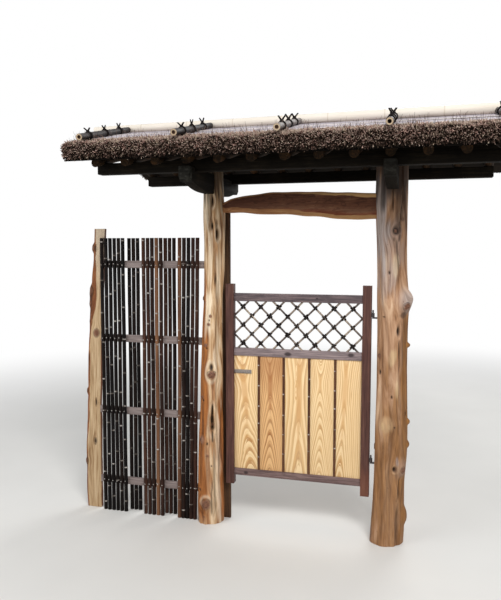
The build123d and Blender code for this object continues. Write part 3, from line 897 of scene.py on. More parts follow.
class Skin:
    # the surface of one trunk while it is shaped and painted
    def __init__(self, share, bearing, radius, height, seed):
        self.share, self.bearing, self.radius, self.height, self.seed = share, bearing, radius, height, seed
        self.lift = np.zeros(len(share))
        self.flow = bearing.copy()
        names = ("hollow", "knot", "bark", "silver", "pale", "shadeAndDarkWood")
        self.paints = {key: np.zeros(len(share)) for key in names}

    def away(self, share, bearing, half, tall):
        # distance from a spot, 1 on an oval of the half width and half height
        sideways = wrapped(self.bearing - math.radians(bearing)) * self.radius / half
        upward = (self.share - share) * self.height / tall
        return np.hypot(sideways, upward), upward

    def partFibres(self, bearing, away, amount):
        # fibres run round a spot
        turned = wrapped(self.bearing - math.radians(bearing))
        self.flow -= amount * turned * np.exp(-(away / 1.7) ** 2)

    def brush(self, key, amount):
        self.paints[key] = np.maximum(self.paints[key], np.clip(amount, 0, 1))

    def groove(self, line, number):
        (startShare, startBearing), (endShare, endBearing), width, depth, dark = line
        part = (self.share - startShare) / (endShare - startShare)
        centre = np.radians(startBearing + (endBearing - startBearing) * np.clip(part, 0, 1))
        centre += 0.05 * waves(self.share * 45, 0 * self.share, self.seed + number)
        sideways = np.abs(wrapped(self.bearing - centre)) * self.radius / width
        ends = smoothStep(part, 0, 0.3) * (1 - smoothStep(part, 0.7, 1))
        sunk = np.exp(-sideways ** 1.8) * ends
        self.lift -= depth * sunk
        self.lift += 0.25 * depth * np.exp(-((sideways - 1.9) / 0.7) ** 2) * ends
        # painted shade in the groove
        self.brush("hollow", dark * smoothStep(sunk, 0.30, 0.9))

    def swelling(self, share, bearing, half, tall, proud, silver):
        away, _ = self.away(share, bearing, half, tall)
        self.lift += proud * (1 - smoothStep(away, 0.25, 1.3))
        self.partFibres(bearing, away, 0.5)
        self.brush("silver", silver * np.exp(-away ** 4))

    def hole(self, share, bearing, half, tall, depth):
        away, _ = self.away(share, bearing, half, tall)
        self.lift -= depth * np.exp(-away ** 2)
        self.lift += 0.25 * depth * np.exp(-((away - 1.8) / 0.5) ** 2)
        self.partFibres(bearing, away, 0.6)
        # painted shade in the hole
        self.brush("hollow", np.exp(-(away / 0.95) ** 4))

    def knot(self, share, bearing, size, proud):
        away, upward = self.away(share, bearing, size, size * 1.1)
        away = away + 0.06 * waves(self.bearing * 30, self.share * 160, self.seed + int(share * 1000))
        collar = 0.3 * proud * np.exp(-((away - 1.5) / 0.5) ** 2)
        self.lift += proud * (1 - smoothStep(away, 0.8, 1.3)) + collar
        self.lift -= 0.25 * proud * np.exp(-((away - 0.45) / 0.18) ** 2)
        self.partFibres(bearing, away, 0.8)
        inside = 1 - smoothStep(away, 0.82, 1.0)
        outline = np.exp(-((away - 1.06) / 0.13) ** 2) * (0.35 + 0.5 * smoothStep(upward, -0.4, 0.8))
        # no shade inside the knot; its own dark edge, and painted shade in the sunk ring inside it
        self.paints["hollow"] *= 1 - 0.92 * inside
        self.brush("hollow", outline)
        self.brush("hollow", 0.45 * np.exp(-((away - 0.5) / 0.1) ** 2))
        self.brush("knot", inside)

    def rim(self, share, bearing, half, tall, strength):
        away, _ = self.away(share, bearing, half, tall)
        self.brush("pale", strength * np.exp(-((away - 0.9) / 0.22) ** 2))

    def patch(self, key, share, bearing, half, tall, strength):
        away, _ = self.away(share, bearing, half, tall)
        ragged = 0.32 * waves(self.flow * 12, self.share * 60, self.seed + 60)
        self.brush(key, strength * (1 - smoothStep(away + ragged, 0.55, 1.2)))

    def barkFlank(self, centre, spread, low, high):
        edge = 0.14 * waves(self.share * 30, self.bearing * 2, self.seed + 40)
        side = np.abs(wrapped(self.bearing - math.radians(centre))) + edge
        foot = smoothStep(self.share, low - 0.04, low + 0.04)
        head = 1 - smoothStep(self.share, high - 0.08, high)
        self.brush("bark", (1 - smoothStep(side, spread - 0.16, spread + 0.16)) * (foot * head))

    def carve(self, log):
        for number, groove in enumerate(log["grooves"]):
            self.groove(groove, number)
        marks = (("barkFlanks", self.barkFlank), ("swellings", self.swelling), ("holes", self.hole),
                 ("patches", self.patch), ("rims", self.rim), ("knots", self.knot))
        for key, mark in marks:
            for spot in log[key]:
                mark(*spot)


def windingSwell(log, share, bearing, turn):
    # lobes, lumps and flutes that wind up the trunk; the flute is 0 in a groove and 1 on a rib
    around = bearing - turn
    swell = 1 + 0.04 * np.cos(3 * bearing + turn) + 0.022 * np.cos(7 * bearing - 2 * turn)
    swell += 0.012 * waves(6 * np.cos(around), share * 16 + 6 * np.sin(around), log["seed"])
    swell += 0.008 * waves(16 * np.cos(around), share * 22 + 16 * np.sin(around), log["seed"] + 1)
    wander = 3 * waves(share * log["fluteWander"], 0 * share, log["seed"] + 2)
    flute = np.abs(np.sin((log["flutes"] * around + wander) / 2)) ** 0.7
    uneven = waves(3 * np.cos(bearing), share * 12 + 3 * np.sin(bearing), log["seed"] + 5)
    strength = 0.62 + 0.38 * np.clip(uneven, -1, 1)
    return swell + log["fluteDepth"] * (flute - 0.75) * strength, flute, strength


def trunk(name, node, log, material):
    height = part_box(node)[1].z
    rod = plainRod(log["sides"], log["rings"])
    points = readPoints(rod)
    share = points[:, 2].copy()
    bearing = np.arctan2(points[:, 1], points[:, 0])
    lean, girth = trunkLine(share, log["levels"])
    radius = girth * log["girth"]
    turn = log["twist"] * share
    swell, flute, strength = windingSwell(log, share, bearing, turn)
    skin = Skin(share, bearing, radius, height, log["seed"])
    # painted shade in the flute grooves
    skin.brush("shadeAndDarkWood", log["fluteShade"] * (1 - smoothStep(flute, 0.05, 0.5)) * strength)
    skin.carve(log)
    reach = radius * swell + skin.lift
    points[:, 0] = log["x"] + log["girth"] * lean + reach * np.cos(bearing)
    points[:, 1] = reach * np.sin(bearing)
    points[:, 2] = share * height
    writePoints(rod, points)
    around = skin.flow - turn
    core = log["grainRadius"]
    paint(rod, "grain", np.stack([core * np.cos(around), core * np.sin(around), points[:, 2]], 1))
    for key, values in skin.paints.items():
        paint(rod, key, values)
    finishPiece(rod, name, "frame", material, [node])


rightLog = {
    "x": 0.0, "girth": 0.086, "twist": -1.1, "sides": 128, "rings": 400, "seed": 3,
    "grainRadius": 0.09, "flutes": 4, "fluteDepth": 0.07, "fluteShade": 0.4, "fluteWander": 9,
    "levels": [
        (0.0, -0.12, 1.08), (0.05, -0.06, 1.08), (0.1, -0.03, 1.03), (0.17, 0.0, 1.0), (0.24, 0.08, 1.06),
        (0.31, 0.08, 1.05), (0.4, 0.08, 0.99), (0.5, 0.06, 0.97), (0.58, 0.06, 0.96), (0.64, 0.09, 1.03),
        (0.7, 0.0, 0.93), (0.77, -0.05, 0.93), (0.83, -0.09, 0.98), (0.9, -0.12, 1.05), (1.0, -0.1, 0.99)],
    # from and to as share of the height and bearing, width, depth, and how much painted shade lies in it
    "grooves": [
        ((0.44, -56), (0.565, -61), 0.0045, 0.008, 0.95), ((0.86, -36), (1.02, -56), 0.007, 0.012, 0.8),
        ((0.80, -62), (0.92, -36), 0.006, 0.008, 0.7), ((0.85, -81), (0.97, -85), 0.004, 0.008, 0.9),
        ((0.70, -60), (0.82, -68), 0.006, 0.006, 0.5), ((0.88, -112), (1.0, -106), 0.005, 0.006, 0.7),
        ((0.11, -50), (0.20, -44), 0.005, 0.008, 0.8), ((-0.02, -44), (0.12, -51), 0.013, 0.014, 0.35),
        ((0.0, -124), (0.34, -108), 0.016, 0.007, 0.10), ((0.26, -58), (0.50, -52), 0.016, 0.008, 0.15),
        ((0.30, -132), (0.62, -118), 0.014, 0.006, 0.10), ((0.0, -84), (0.2, -80), 0.012, 0.005, 0.12),
        ((0.2, 40), (0.6, 90), 0.012, 0.012, 0.5), ((0.55, 140), (0.95, 100), 0.010, 0.012, 0.5),
        ((0.02, 110), (0.3, 130), 0.012, 0.012, 0.4), ((0.6, 20), (0.98, 50), 0.010, 0.012, 0.5),
    ],
    # share, bearing, half width, half height, how proud, how silvery
    "swellings": [
        (0.643, -33, 0.050, 0.068, 0.024, 0.72), (0.655, -22, 0.026, 0.040, 0.008, 0.5),
        (0.208, -44, 0.044, 0.058, 0.018, 0.22), (0.528, -8, 0.014, 0.016, 0.016, 0.0),
        (0.327, -6, 0.014, 0.018, 0.013, 0.0), (0.267, -6, 0.016, 0.022, 0.011, 0.0),
        (0.075, -8, 0.030, 0.055, 0.015, 0.0), (0.820, -70, 0.038, 0.045, 0.007, 0.0),
        (0.320, -103, 0.036, 0.030, 0.005, 0.0), (0.42, 100, 0.04, 0.05, 0.010, 0.3),
        (0.8, 120, 0.035, 0.045, 0.008, 0.3),
    ],
    # share, bearing, half width, half height, depth
    "holes": [
        (0.820, -73, 0.019, 0.022, 0.010), (0.566, -62, 0.010, 0.030, 0.018),
        (0.207, -70, 0.009, 0.015, 0.014), (0.715, -97, 0.005, 0.010, 0.006),
        (0.396, -85, 0.005, 0.010, 0.006), (0.458, -137, 0.007, 0.014, 0.008),
        (0.317, -73, 0.005, 0.006, 0.005), (0.602, -119, 0.008, 0.004, 0.004),
        (0.7, 60, 0.008, 0.02, 0.012), (0.35, -20, 0.006, 0.014, 0.008),
    ],
    # what is painted, share, bearing, half width, half height, strength
    "patches": [
        # painted shade from the roof lies on the head of the trunk; the other dark patches are partly painted
        # shade and partly dark wood
        ("hollow", 0.995, -90, 0.30, 0.22, 0.80), ("silver", 0.86, -132, 0.060, 0.38, 0.9),
        ("silver", 0.74, -108, 0.060, 0.24, 0.5), ("silver", 0.79, -70, 0.060, 0.14, 0.35),
        ("pale", 0.738, -73, 0.020, 0.066, 0.9), ("pale", 0.745, -108, 0.018, 0.050, 0.35),
        ("pale", 0.322, -104, 0.048, 0.046, 0.26), ("pale", 0.318, -116, 0.015, 0.026, 0.42),
        ("pale", 0.318, -92, 0.011, 0.018, 0.38), ("silver", 0.228, -62, 0.009, 0.030, 0.5),
        ("bark", 0.16, -86, 0.130, 0.60, 0.74), ("shadeAndDarkWood", 0.824, -66, 0.024, 0.032, 0.95),
        ("shadeAndDarkWood", 0.850, -42, 0.020, 0.018, 0.9), ("shadeAndDarkWood", 0.838, -58, 0.014, 0.016, 0.8),
        ("shadeAndDarkWood", 0.803, -57, 0.010, 0.024, 0.9), ("shadeAndDarkWood", 0.799, -78, 0.008, 0.014, 0.7),
        ("shadeAndDarkWood", 0.90, -26, 0.016, 0.22, 0.7), ("shadeAndDarkWood", 0.606, -43, 0.034, 0.020, 0.8),
        ("shadeAndDarkWood", 0.875, -47, 0.018, 0.11, 0.8), ("pale", 0.50, -86, 0.020, 0.05, 0.5),
        ("pale", 0.42, -66, 0.012, 0.05, 0.4), ("shadeAndDarkWood", 0.90, -52, 0.040, 0.20, 0.7),
        ("shadeAndDarkWood", 0.97, -78, 0.090, 0.13, 0.75), ("shadeAndDarkWood", 0.91, -78, 0.050, 0.16, 0.55),
        ("shadeAndDarkWood", 0.06, -50, 0.020, 0.10, 0.5), ("shadeAndDarkWood", 0.55, -36, 0.022, 0.12, 0.35),
    ],
    "rims": [(0.207, -68, 0.016, 0.026, 0.15)],
    # share, bearing, radius, how proud
    "knots": [
        (0.630, -42, 0.018, 0.010), (0.206, -42, 0.015, 0.006), (0.820, -73, 0.008, 0.002),
        (0.5, -140, 0.010, 0.004), (0.42, 100, 0.022, 0.008), (0.8, 120, 0.018, 0.007),
        (0.25, 160, 0.016, 0.006), (0.645, 15, 0.016, 0.007),
    ],
    # bearing, half width in radians, from share, to share
    "barkFlanks": [(-18, 0.45, 0.0, 0.66), (150, 0.6, 0.1, 0.9)],
}
leftLog = {
    "x": -1.05, "girth": 0.066, "twist": -1.1, "sides": 128, "rings": 400, "seed": 8,
    "grainRadius": 0.09, "flutes": 5, "fluteDepth": 0.16, "fluteShade": 0.7, "fluteWander": 11,
    "levels": [
        (0.0, -0.27, 1.18), (0.04, -0.3, 1.22), (0.09, -0.3, 1.16), (0.16, -0.29, 1.14), (0.26, -0.23, 1.08),
        (0.33, -0.15, 1.0), (0.41, -0.11, 1.01), (0.5, -0.08, 0.92), (0.58, -0.02, 0.88), (0.65, 0.06, 0.84),
        (0.72, 0.17, 0.9), (0.79, 0.2, 0.9), (0.87, 0.15, 0.97), (0.93, 0.1, 0.9), (1.0, 0.08, 0.88)],
    "grooves": [
        ((0.80, -90), (1.02, -74), 0.012, 0.022, 0.45), ((0.78, -48), (0.87, -60), 0.010, 0.018, 0.6),
        ((0.60, -30), (0.72, -64), 0.010, 0.014, 0.4), ((0.66, -55), (0.85, -86), 0.013, 0.013, 0.2),
        ((0.252, -61), (0.362, -70), 0.009, 0.022, 1.0), ((0.258, -61), (0.322, -66), 0.017, 0.018, 0.9),
        ((0.226, -59), (0.276, -62), 0.006, 0.010, 0.8),
        ((-0.02, -45), (0.25, -54), 0.010, 0.013, 0.5), ((0.0, -66), (0.15, -63), 0.006, 0.009, 0.6),
        ((0.10, -22), (0.36, -6), 0.010, 0.013, 0.4), ((0.08, -128), (0.35, -120), 0.010, 0.006, 0.35),
        ((0.42, -128), (0.64, -134), 0.009, 0.009, 0.4), ((-0.02, -112), (0.10, -106), 0.010, 0.010, 0.35),
        ((0.86, -116), (1.02, -122), 0.010, 0.008, 0.2), ((0.44, -46), (0.62, -38), 0.011, 0.009, 0.2),
        ((0.2, 60), (0.6, 100), 0.012, 0.014, 0.6), ((0.55, 150), (0.95, 120), 0.012, 0.014, 0.6),
        ((0.0, 120), (0.3, 140), 0.012, 0.012, 0.5), ((0.62, 20), (0.95, 40), 0.012, 0.014, 0.5),
    ],
    "swellings": [
        (0.430, -73, 0.040, 0.052, 0.009, 0.0), (0.059, -91, 0.046, 0.050, 0.008, 0.0),
        (0.241, -118, 0.020, 0.025, 0.007, 0.4), (0.3, 80, 0.03, 0.04, 0.008, 0.2),
        (0.68, 95, 0.03, 0.04, 0.008, 0.2),
    ],
    "holes": [
        (0.448, -74, 0.013, 0.023, 0.016), (0.906, -77, 0.010, 0.036, 0.020),
        (0.838, -84, 0.011, 0.026, 0.018), (0.816, -50, 0.010, 0.032, 0.018),
        (0.688, -59, 0.006, 0.026, 0.010), (0.231, -89, 0.006, 0.009, 0.006),
        (0.168, -66, 0.004, 0.006, 0.005), (0.353, -119, 0.006, 0.008, 0.006),
        (0.097, -121, 0.006, 0.011, 0.006), (0.500, -102, 0.006, 0.006, 0.006),
        (0.578, -92, 0.005, 0.007, 0.005), (0.626, -130, 0.005, 0.010, 0.006),
    ],
    "patches": [
        # painted shade from the roof lies on the head of the trunk; the other dark patches are partly painted
        # shade and partly dark wood
        ("hollow", 0.990, -75, 0.30, 0.17, 0.82), ("shadeAndDarkWood", 0.875, -12, 0.016, 0.18, 0.6),
        ("shadeAndDarkWood", 0.52, -32, 0.016, 0.30, 0.22), ("pale", 0.60, -98, 0.022, 0.15, 0.8),
        ("pale", 0.92, -112, 0.022, 0.25, 0.7), ("pale", 0.76, -96, 0.016, 0.2, 0.6),
        ("pale", 0.70, -44, 0.016, 0.18, 0.5), ("pale", 0.47, -52, 0.014, 0.10, 0.6),
        ("pale", 0.16, -30, 0.028, 0.42, 0.5), ("bark", 0.14, -80, 0.024, 0.36, 0.75),
        ("shadeAndDarkWood", 0.40, -70, 0.012, 0.04, 0.45), ("shadeAndDarkWood", 0.15, -92, 0.012, 0.16, 0.3),
        ("bark", 0.39, -66, 0.016, 0.12, 0.7), ("bark", 0.402, -70, 0.015, 0.028, 0.9),
        ("shadeAndDarkWood", 0.3, -14, 0.012, 0.25, 0.3), ("shadeAndDarkWood", 0.05, -60, 0.010, 0.1, 0.35),
        ("shadeAndDarkWood", 0.97, -60, 0.03, 0.06, 0.4),
    ],
    "rims": [
        (0.434, -75, 0.034, 0.066, 0.50), (0.066, -91, 0.033, 0.036, 0.35), (0.296, -65, 0.026, 0.110, 0.35),
        (0.906, -77, 0.018, 0.05, 0.5), (0.816, -51, 0.018, 0.05, 0.6),
    ],
    "knots": [
        (0.428, -73, 0.0215, 0.008), (0.059, -91, 0.0275, 0.006), (0.285, -63, 0.0105, 0.016),
        (0.241, -121, 0.009, 0.006), (0.198, -85, 0.007, 0.006), (0.509, -105, 0.010, 0.006),
        (0.362, -124, 0.008, 0.006), (0.102, -126, 0.007, 0.005), (0.021, -101, 0.006, 0.003),
        (0.639, -137, 0.011, 0.007), (0.590, -84, 0.009, 0.003), (0.567, -93, 0.009, 0.004),
        (0.3, 80, 0.018, 0.008), (0.68, 95, 0.016, 0.008),
    ],
    "barkFlanks": [
        (-146, 1.04, 0.0, 0.62), (-150, 0.80, 0.50, 0.74), (-10, 0.5, 0.0, 0.42), (120, 0.6, 0.2, 0.9)],
}
trunk("rightTrunk", "right_post", rightLog, finishes["rightLog"])
trunk("leftTrunk", "left_post", leftLog, finishes["leftLog"])
print("trunks done")


# Half log at the end of the fence

endLog = {
    "x": -1.83, "girth": 0.043, "front": -0.010, "depth": 0.055, "sides": 96, "rings": 260, "sawnLeft": 0.74,
    "barkDepth": 0.004,
    "levels": [
        (0.0, -0.7, 1.16), (0.08, -0.72, 1.2), (0.16, -0.65, 1.16), (0.27, -0.6, 1.15), (0.38, -0.49, 1.06),
        (0.5, -0.3, 1.05), (0.6, -0.12, 1.0), (0.71, 0.12, 0.98), (0.8, 0.38, 0.88), (0.9, 0.7, 0.84),
        (1.0, 1.02, 0.84)],
    # share of the height, and how much of the face is bark there
    "barkWidth": [
        (0.0, 0.10), (0.4, 0.10), (0.62, 0.12), (0.68, 0.26), (0.72, 0.70), (0.76, 0.80), (0.80, 0.70),
        (0.85, 0.42), (0.90, 0.30), (0.94, 0.34), (0.97, 0.16), (1.0, 0.10)],
    # height, place across the face from -1 to 1, half width, half height, how proud, painted shade (from a
    # half up it is a sunk hole)
    "knots": [
        (1.137, 0.25, 0.021, 0.026, 0.002, 0.2), (0.69, 0.38, 0.006, 0.026, -0.004, 0.9),
        (0.435, 0.25, 0.011, 0.022, -0.003, 0.9), (1.673, -0.95, 0.016, 0.026, 0.012, 0.0),
        (1.40, -1.0, 0.022, 0.040, 0.013, 0.1), (1.33, -0.9, 0.014, 0.03, 0.008, 0.2),
        (1.21, -0.9, 0.007, 0.012, 0.002, 0.9), (0.76, -1.0, 0.014, 0.02, 0.010, 0.1),
        (0.56, -0.85, 0.007, 0.011, 0.0, 0.8), (0.30, -1.0, 0.012, 0.02, 0.007, 0.1)],
}


def halfLogSection(log, share, bearing):
    # the sawn face in front stops short of the log's left side, so its bark shows beside it
    sawn = (bearing <= 1e-6) | (bearing > math.pi - 1e-3)
    narrow = log["sawnLeft"] + 0.10 * waves(share * 30, 0 * share, 24)
    narrow = narrow + 0.16 * smoothStep(0.4 - share, 0, 0.3)
    facing = np.where(bearing > math.pi - 1e-3, -math.pi, bearing)
    face = 1 + (1 + narrow) * facing / math.pi
    rounded = np.sign(np.cos(bearing)) * np.abs(np.cos(bearing)) ** 0.7
    across = np.where(sawn, face, rounded)
    behind = np.where(sawn, 0, np.maximum(np.sin(bearing), 0) ** 0.75)
    return sawn, narrow, across, behind


def halfLogKnots(log, across, height, radius):
    # fibres run round each knot; a knot is proud or sunk, sunk ones filled with painted shade, and dark at
    # its edge
    proud, knots, hollow = np.zeros((3, len(across)))
    flow = across * radius
    for level, place, half, tall, stand, dark in log["knots"]:
        away = np.hypot((across - place) * radius / half, (height - level) / tall)
        flow = flow - 0.85 * (across - place) * radius * np.exp(-(away / 1.9) ** 2)
        proud += stand * (1 - smoothStep(away, 0.4, 1.5))
        knots = np.maximum(knots, (1 - smoothStep(away, 0.75, 1.0)) * (dark < 0.5))
        hollow = np.maximum(hollow, dark * (1 - smoothStep(away, 0.5, 1.0)))
        hollow = np.maximum(hollow, 0.7 * np.exp(-((away - 1.0) / 0.15) ** 2))
    return flow, proud, knots, hollow


def fenceEndPost():
    log = endLog
    rod = plainRod(log["sides"], log["rings"])
    points = readPoints(rod)
    share = points[:, 2].copy()
    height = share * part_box("fence_end_post")[1].z
    bearing = np.arctan2(points[:, 1], points[:, 0])
    lean, girth = trunkLine(share, log["levels"])
    radius = girth * log["girth"]
    sawn, narrow, across, behind = halfLogSection(log, share, bearing)
    flow, proud, knots, hollow = halfLogKnots(log, across, height, radius)
    wavyEdge = 1 + 0.06 * waves(share * 38, 0 * share, 21) * smoothStep(-across, 0.2, 1)
    ripple = 0.003 * waves(bearing * 7, share * 60, 22) * ~sawn
    barkEdge = np.interp(share, *np.array(log["barkWidth"]).T) + 0.05 * waves(share * 70, 0 * share, 25)
    flank = sawn * (1 - smoothStep(across + narrow, barkEdge - 0.08, barkEdge + 0.04))
    proud = proud + log["barkDepth"] * flank
    side = (across < -0.5) * proud
    points[:, 0] = log["x"] + log["girth"] * lean + (across * radius * wavyEdge - side)
    points[:, 1] = log["front"] + (log["depth"] * behind + ripple - (proud - side) * sawn)
    points[:, 2] = height
    writePoints(rod, points)
    paint(rod, "grain", np.stack([flow, points[:, 1], points[:, 2]], 1))
    paint(rod, "bark", np.maximum((behind > 0.001) * 1.0, flank))
    paint(rod, "knot", knots)
    paint(rod, "hollow", hollow)
    finishPiece(rod, "fenceEndLog", "frame", finishes["endPost"], ["fence_end_post"], 32)


fenceEndPost()
print("fence end post done")


# Lintel slab with natural edges

lintelShape = {
    "top": [
        (-1.005, 1.908), (-0.990, 1.940), (-0.955, 1.954), (-0.882, 1.9677), (-0.7455, 1.9868),
        (-0.4515, 1.9933), (-0.294, 1.9829), (-0.070, 1.9712)],
    "bottom": [(-1.005, 1.8841), (-0.6825, 1.8672), (-0.4935, 1.8581), (-0.294, 1.8347), (-0.070, 1.8308)],
    "thickness": 0.070, "tip": 0.10, "sides": 72, "rings": 180,
    "chopMarks": 0.0014, "edgeWave": 0.003, "tipRim": 0.02,
    # along the gate, and how deep the sapwood is there
    "topRim": [(-1.005, 0.013), (-0.60, 0.009), (-0.35, 0.018), (-0.070, 0.024)],
    "bottomRim": [(-1.005, 0.030), (-0.60, 0.024), (-0.25, 0.021), (-0.070, 0.021)],
}


def eased(x, line):
    # a smooth line through the listed points
    xs, zs = np.array(line).T
    near = np.clip(x[:, None] + np.linspace(-0.06, 0.06, 9), xs[0], xs[-1])
    return np.interp(near, xs, zs).mean(1)


def lintelSlab():
    shape = lintelShape
    rod = plainRod(shape["sides"], shape["rings"])
    points = readPoints(rod)
    (left, _), (right, _) = shape["top"][0], shape["top"][-1]
    x = left + (right - left) * points[:, 2]
    turn = np.arctan2(points[:, 1], points[:, 0])
    top = eased(x, shape["top"]) + shape["edgeWave"] * waves(x * 30, 0 * x, 31)
    bottom = eased(x, shape["bottom"]) + shape["edgeWave"] * waves(x * 34, 0 * x, 32)
    # a full rounded section, from the upright share and the share through the slab
    up = np.sign(np.sin(turn)) * np.abs(np.sin(turn)) ** 0.5
    through = -np.sign(np.cos(turn)) * np.abs(np.cos(turn)) ** 0.22
    chops = shape["chopMarks"] * waves(x * 70, up * 9, 33) * (np.abs(through) > 0.8)
    points[:, 0] = x
    tip = 0.25 + 0.75 * smoothStep(x - left, 0, shape["tip"])
    points[:, 1] = shape["thickness"] / 2 * tip * through + chops
    points[:, 2] = (top + bottom) / 2 + (top - bottom) / 2 * up
    writePoints(rod, points)
    # rims and tip are measured in depths of sapwood
    below = (1 + up) * (top - bottom) / 2 / eased(x, shape["bottomRim"])
    above = (1 - up) * (top - bottom) / 2 / eased(x, shape["topRim"])
    inward = np.minimum(np.minimum(below, above), (x - left) / shape["tipRim"])
    paint(rod, "rim", 1 - np.clip(inward / 4, 0, 1))
    paint(rod, "heightShare", (1 + up) / 2)
    faceOutwards(rod)
    finishPiece(rod, "lintelSlab", "frame", finishes["lintel"], ["lintel"], 60)


lintelSlab()
print("lintel done")


# Beams, boards and door timbers keep their solids' shapes, with worn edges

for node, finish in [
        ("left_arm", "leftArm"), ("right_arm", "rightArm"), ("front_purlin", "longBeam"),
        ("rear_purlin", "longBeam"), ("ridge_beam", "longBeam")]:
    easedCopy(node, "frame", finishes[finish], 0.004)
easedCopy("door_stop", "frame", finishes["doorStop"], 0.0015)
easedCopy("fence_rails", "frame", finishes["fenceRail"], 0.0015)
for node, finish in (("latch_stile", "doorStile"), ("hinge_stile", "hingeStile")):
    easedCopy(node, "door", finishes[finish], 0.0012)
for node, finish in (("top_rail", "topRail"), ("mid_rail", "midRail"), ("bottom_rail", "bottomRail")):
    easedCopy(node, "door", finishes[finish], 0.0015)
easedCopy("latch_bar", "door", finishes["latch"], 0.0012)

honey = {
    "pale": shade(243, 214, 166), "mid": shade(210, 160, 98), "dark": shade(176, 118, 64),
    "side": shade(232, 198, 146), "heartTone": shade(208, 156, 98)}
tawny = {
    "pale": shade(228, 184, 130), "mid": shade(192, 138, 84), "dark": shade(150, 92, 48),
    "side": shade(208, 160, 108), "heartTone": shade(168, 110, 64)}
straw = {
    "pale": shade(241, 212, 164), "mid": shade(214, 168, 110), "dark": shade(182, 128, 72),
    "side": shade(230, 195, 144), "heartTone": shade(212, 162, 104)}
boardGrain = {
    # spacing is from arch to arch, start the place within a ring at the waist; an island is a mound
    # in the rings: its place from the heart, half width, half height and lift
    "board_1": {
        **honey, "heart": (-0.857, 0.820), "depth": 0.130, "taper": 0.08, "spacing": 0.068, "waist": 0.05,
        "start": 0.80, "warp": 1.0, "seed": 1.0, "wander": 0.030, "lean": -0.09, "column": 0.10,
        "brownAbove": 0.40, "fine": 0.20, "islands": []},
    "board_2": {
        **tawny, "heart": (-0.698, 0.845), "depth": 0.032, "taper": 0.13, "spacing": 0.070, "waist": 0.04,
        "start": 0.55, "warp": 0.8, "seed": 2.0, "wander": 0.016, "lean": 0.0, "column": 0.14,
        "brownAbove": -0.06, "fine": 0.08, "islands": []},
    "board_3": {
        **honey, "heart": (-0.522, 0.820), "depth": 0.030, "taper": 0.10, "spacing": 0.210, "waist": 0.10,
        "start": 0.49, "warp": 0.8, "seed": 3.4, "wander": 0.024, "lean": 0.0, "column": 0.06,
        "brownAbove": 0.50, "fine": 0.08,
        "islands": [(-0.020, 0.005, 0.014, 0.065, -1.3), (-0.018, 0.11, 0.009, 0.080, -1.0)]},
    "board_4": {
        **straw, "heart": (-0.398, 0.885), "depth": 0.030, "taper": 0.12, "spacing": 0.066, "waist": 0.04,
        "start": 0.50, "warp": 1.0, "seed": 4.0, "wander": 0.026, "lean": 0.0, "column": 0.40,
        "brownAbove": 0.50, "fine": 0.10, "islands": []},
    "board_5": {
        **straw, "heart": (-0.254, 0.859), "depth": 0.018, "taper": 0.12, "spacing": 0.090, "waist": 0.12,
        "start": 0.68, "warp": 0.8, "seed": 5.0, "wander": 0.020, "lean": 0.05, "column": 0.07,
        "brownAbove": 0.50, "fine": 0.10, "islands": []},
}
for node, grain in boardGrain.items():
    easedCopy(node, "door", boardFinish(node.replace("_", "") + "Cedar", grain), 0.0008)
for node in ("upper_hinge_hook", "lower_hinge_hook", "upper_hinge_eye", "lower_hinge_eye"):
    dress(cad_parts[node], finishes["iron"])
for node in ("front_roof_boards", "rear_roof_boards"):
    dress(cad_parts[node], finishes["roofPlanks"])
print("timbers done")


# Bamboo culms

culmShape = {
    "clusterHalf": 0.004, "lastNode": 0.012, "trim": 0.0008, "longest": 0.04,
    # bud scars: half width, half height, reach from the node, how far round the culm's side in degrees
    "bud": (0.0058, 0.0042, 0.0044, 70),
}


def nodeLevels(length, first, spacing, seed):
    # ring heights with a close cluster at each node, and where the nodes are
    dice = np.random.default_rng(seed)
    nodes = []
    at = first
    while at < length - culmShape["lastNode"]:
        nodes.append(at)
        at += spacing * dice.uniform(0.85, 1.15)
    levels = {0.0, culmShape["trim"], length - culmShape["trim"], length}
    for at in nodes:
        near = [at + culmShape["clusterHalf"] * part for part in (-1.2, -0.5, -0.15, 0.15, 0.5, 1.2)]
        levels.update(height for height in near if 0.001 < height < length - 0.001)
    levels = sorted(levels)
    middles = [(a + b) / 2 for a, b in zip(levels, levels[1:]) if b - a > culmShape["longest"]]
    return np.array(sorted(levels + middles)), nodes


def budScars(points, nodes, facing, radius, seed):
    # a pale scar at each node, somewhere round the given side
    half, tall, reach, spread = culmShape["bud"]
    dice = np.random.default_rng(seed)
    turn = np.arctan2(points[:, 1], points[:, 0])
    buds = np.zeros(len(points))
    for at in nodes:
        bearing = math.radians(facing + dice.uniform(-spread, spread))
        strength = dice.choice([0.4, 0.9, 1.0])
        spot = np.hypot(wrapped(turn - bearing) * radius / half, (points[:, 2] - at) / tall)
        atNode = np.abs(points[:, 2] - at) < reach
        buds = np.maximum(buds, strength * np.exp(-spot ** 2) * atNode)
    return buds


def ringedRadii(startRadius, endRadius, levels, nodes, length, ridge):
    # radii that swell at each node, and how strongly the ring is painted at each level
    radii = startRadius + (endRadius - startRadius) * levels / length
    rings = np.zeros(len(levels))
    for at in nodes:
        past = levels - at
        bulge = np.exp(-(past / 0.0025) ** 2) - 0.3 * np.exp(-((past - 0.005) / 0.003) ** 2)
        radii = radii * (1 + ridge * bulge)
        # nothing of a ring or bud is left at the outer levels of its node
        rings = np.maximum(rings, 1.1 * np.exp(-(past / 0.003) ** 2) - 0.1)
    return radii, rings


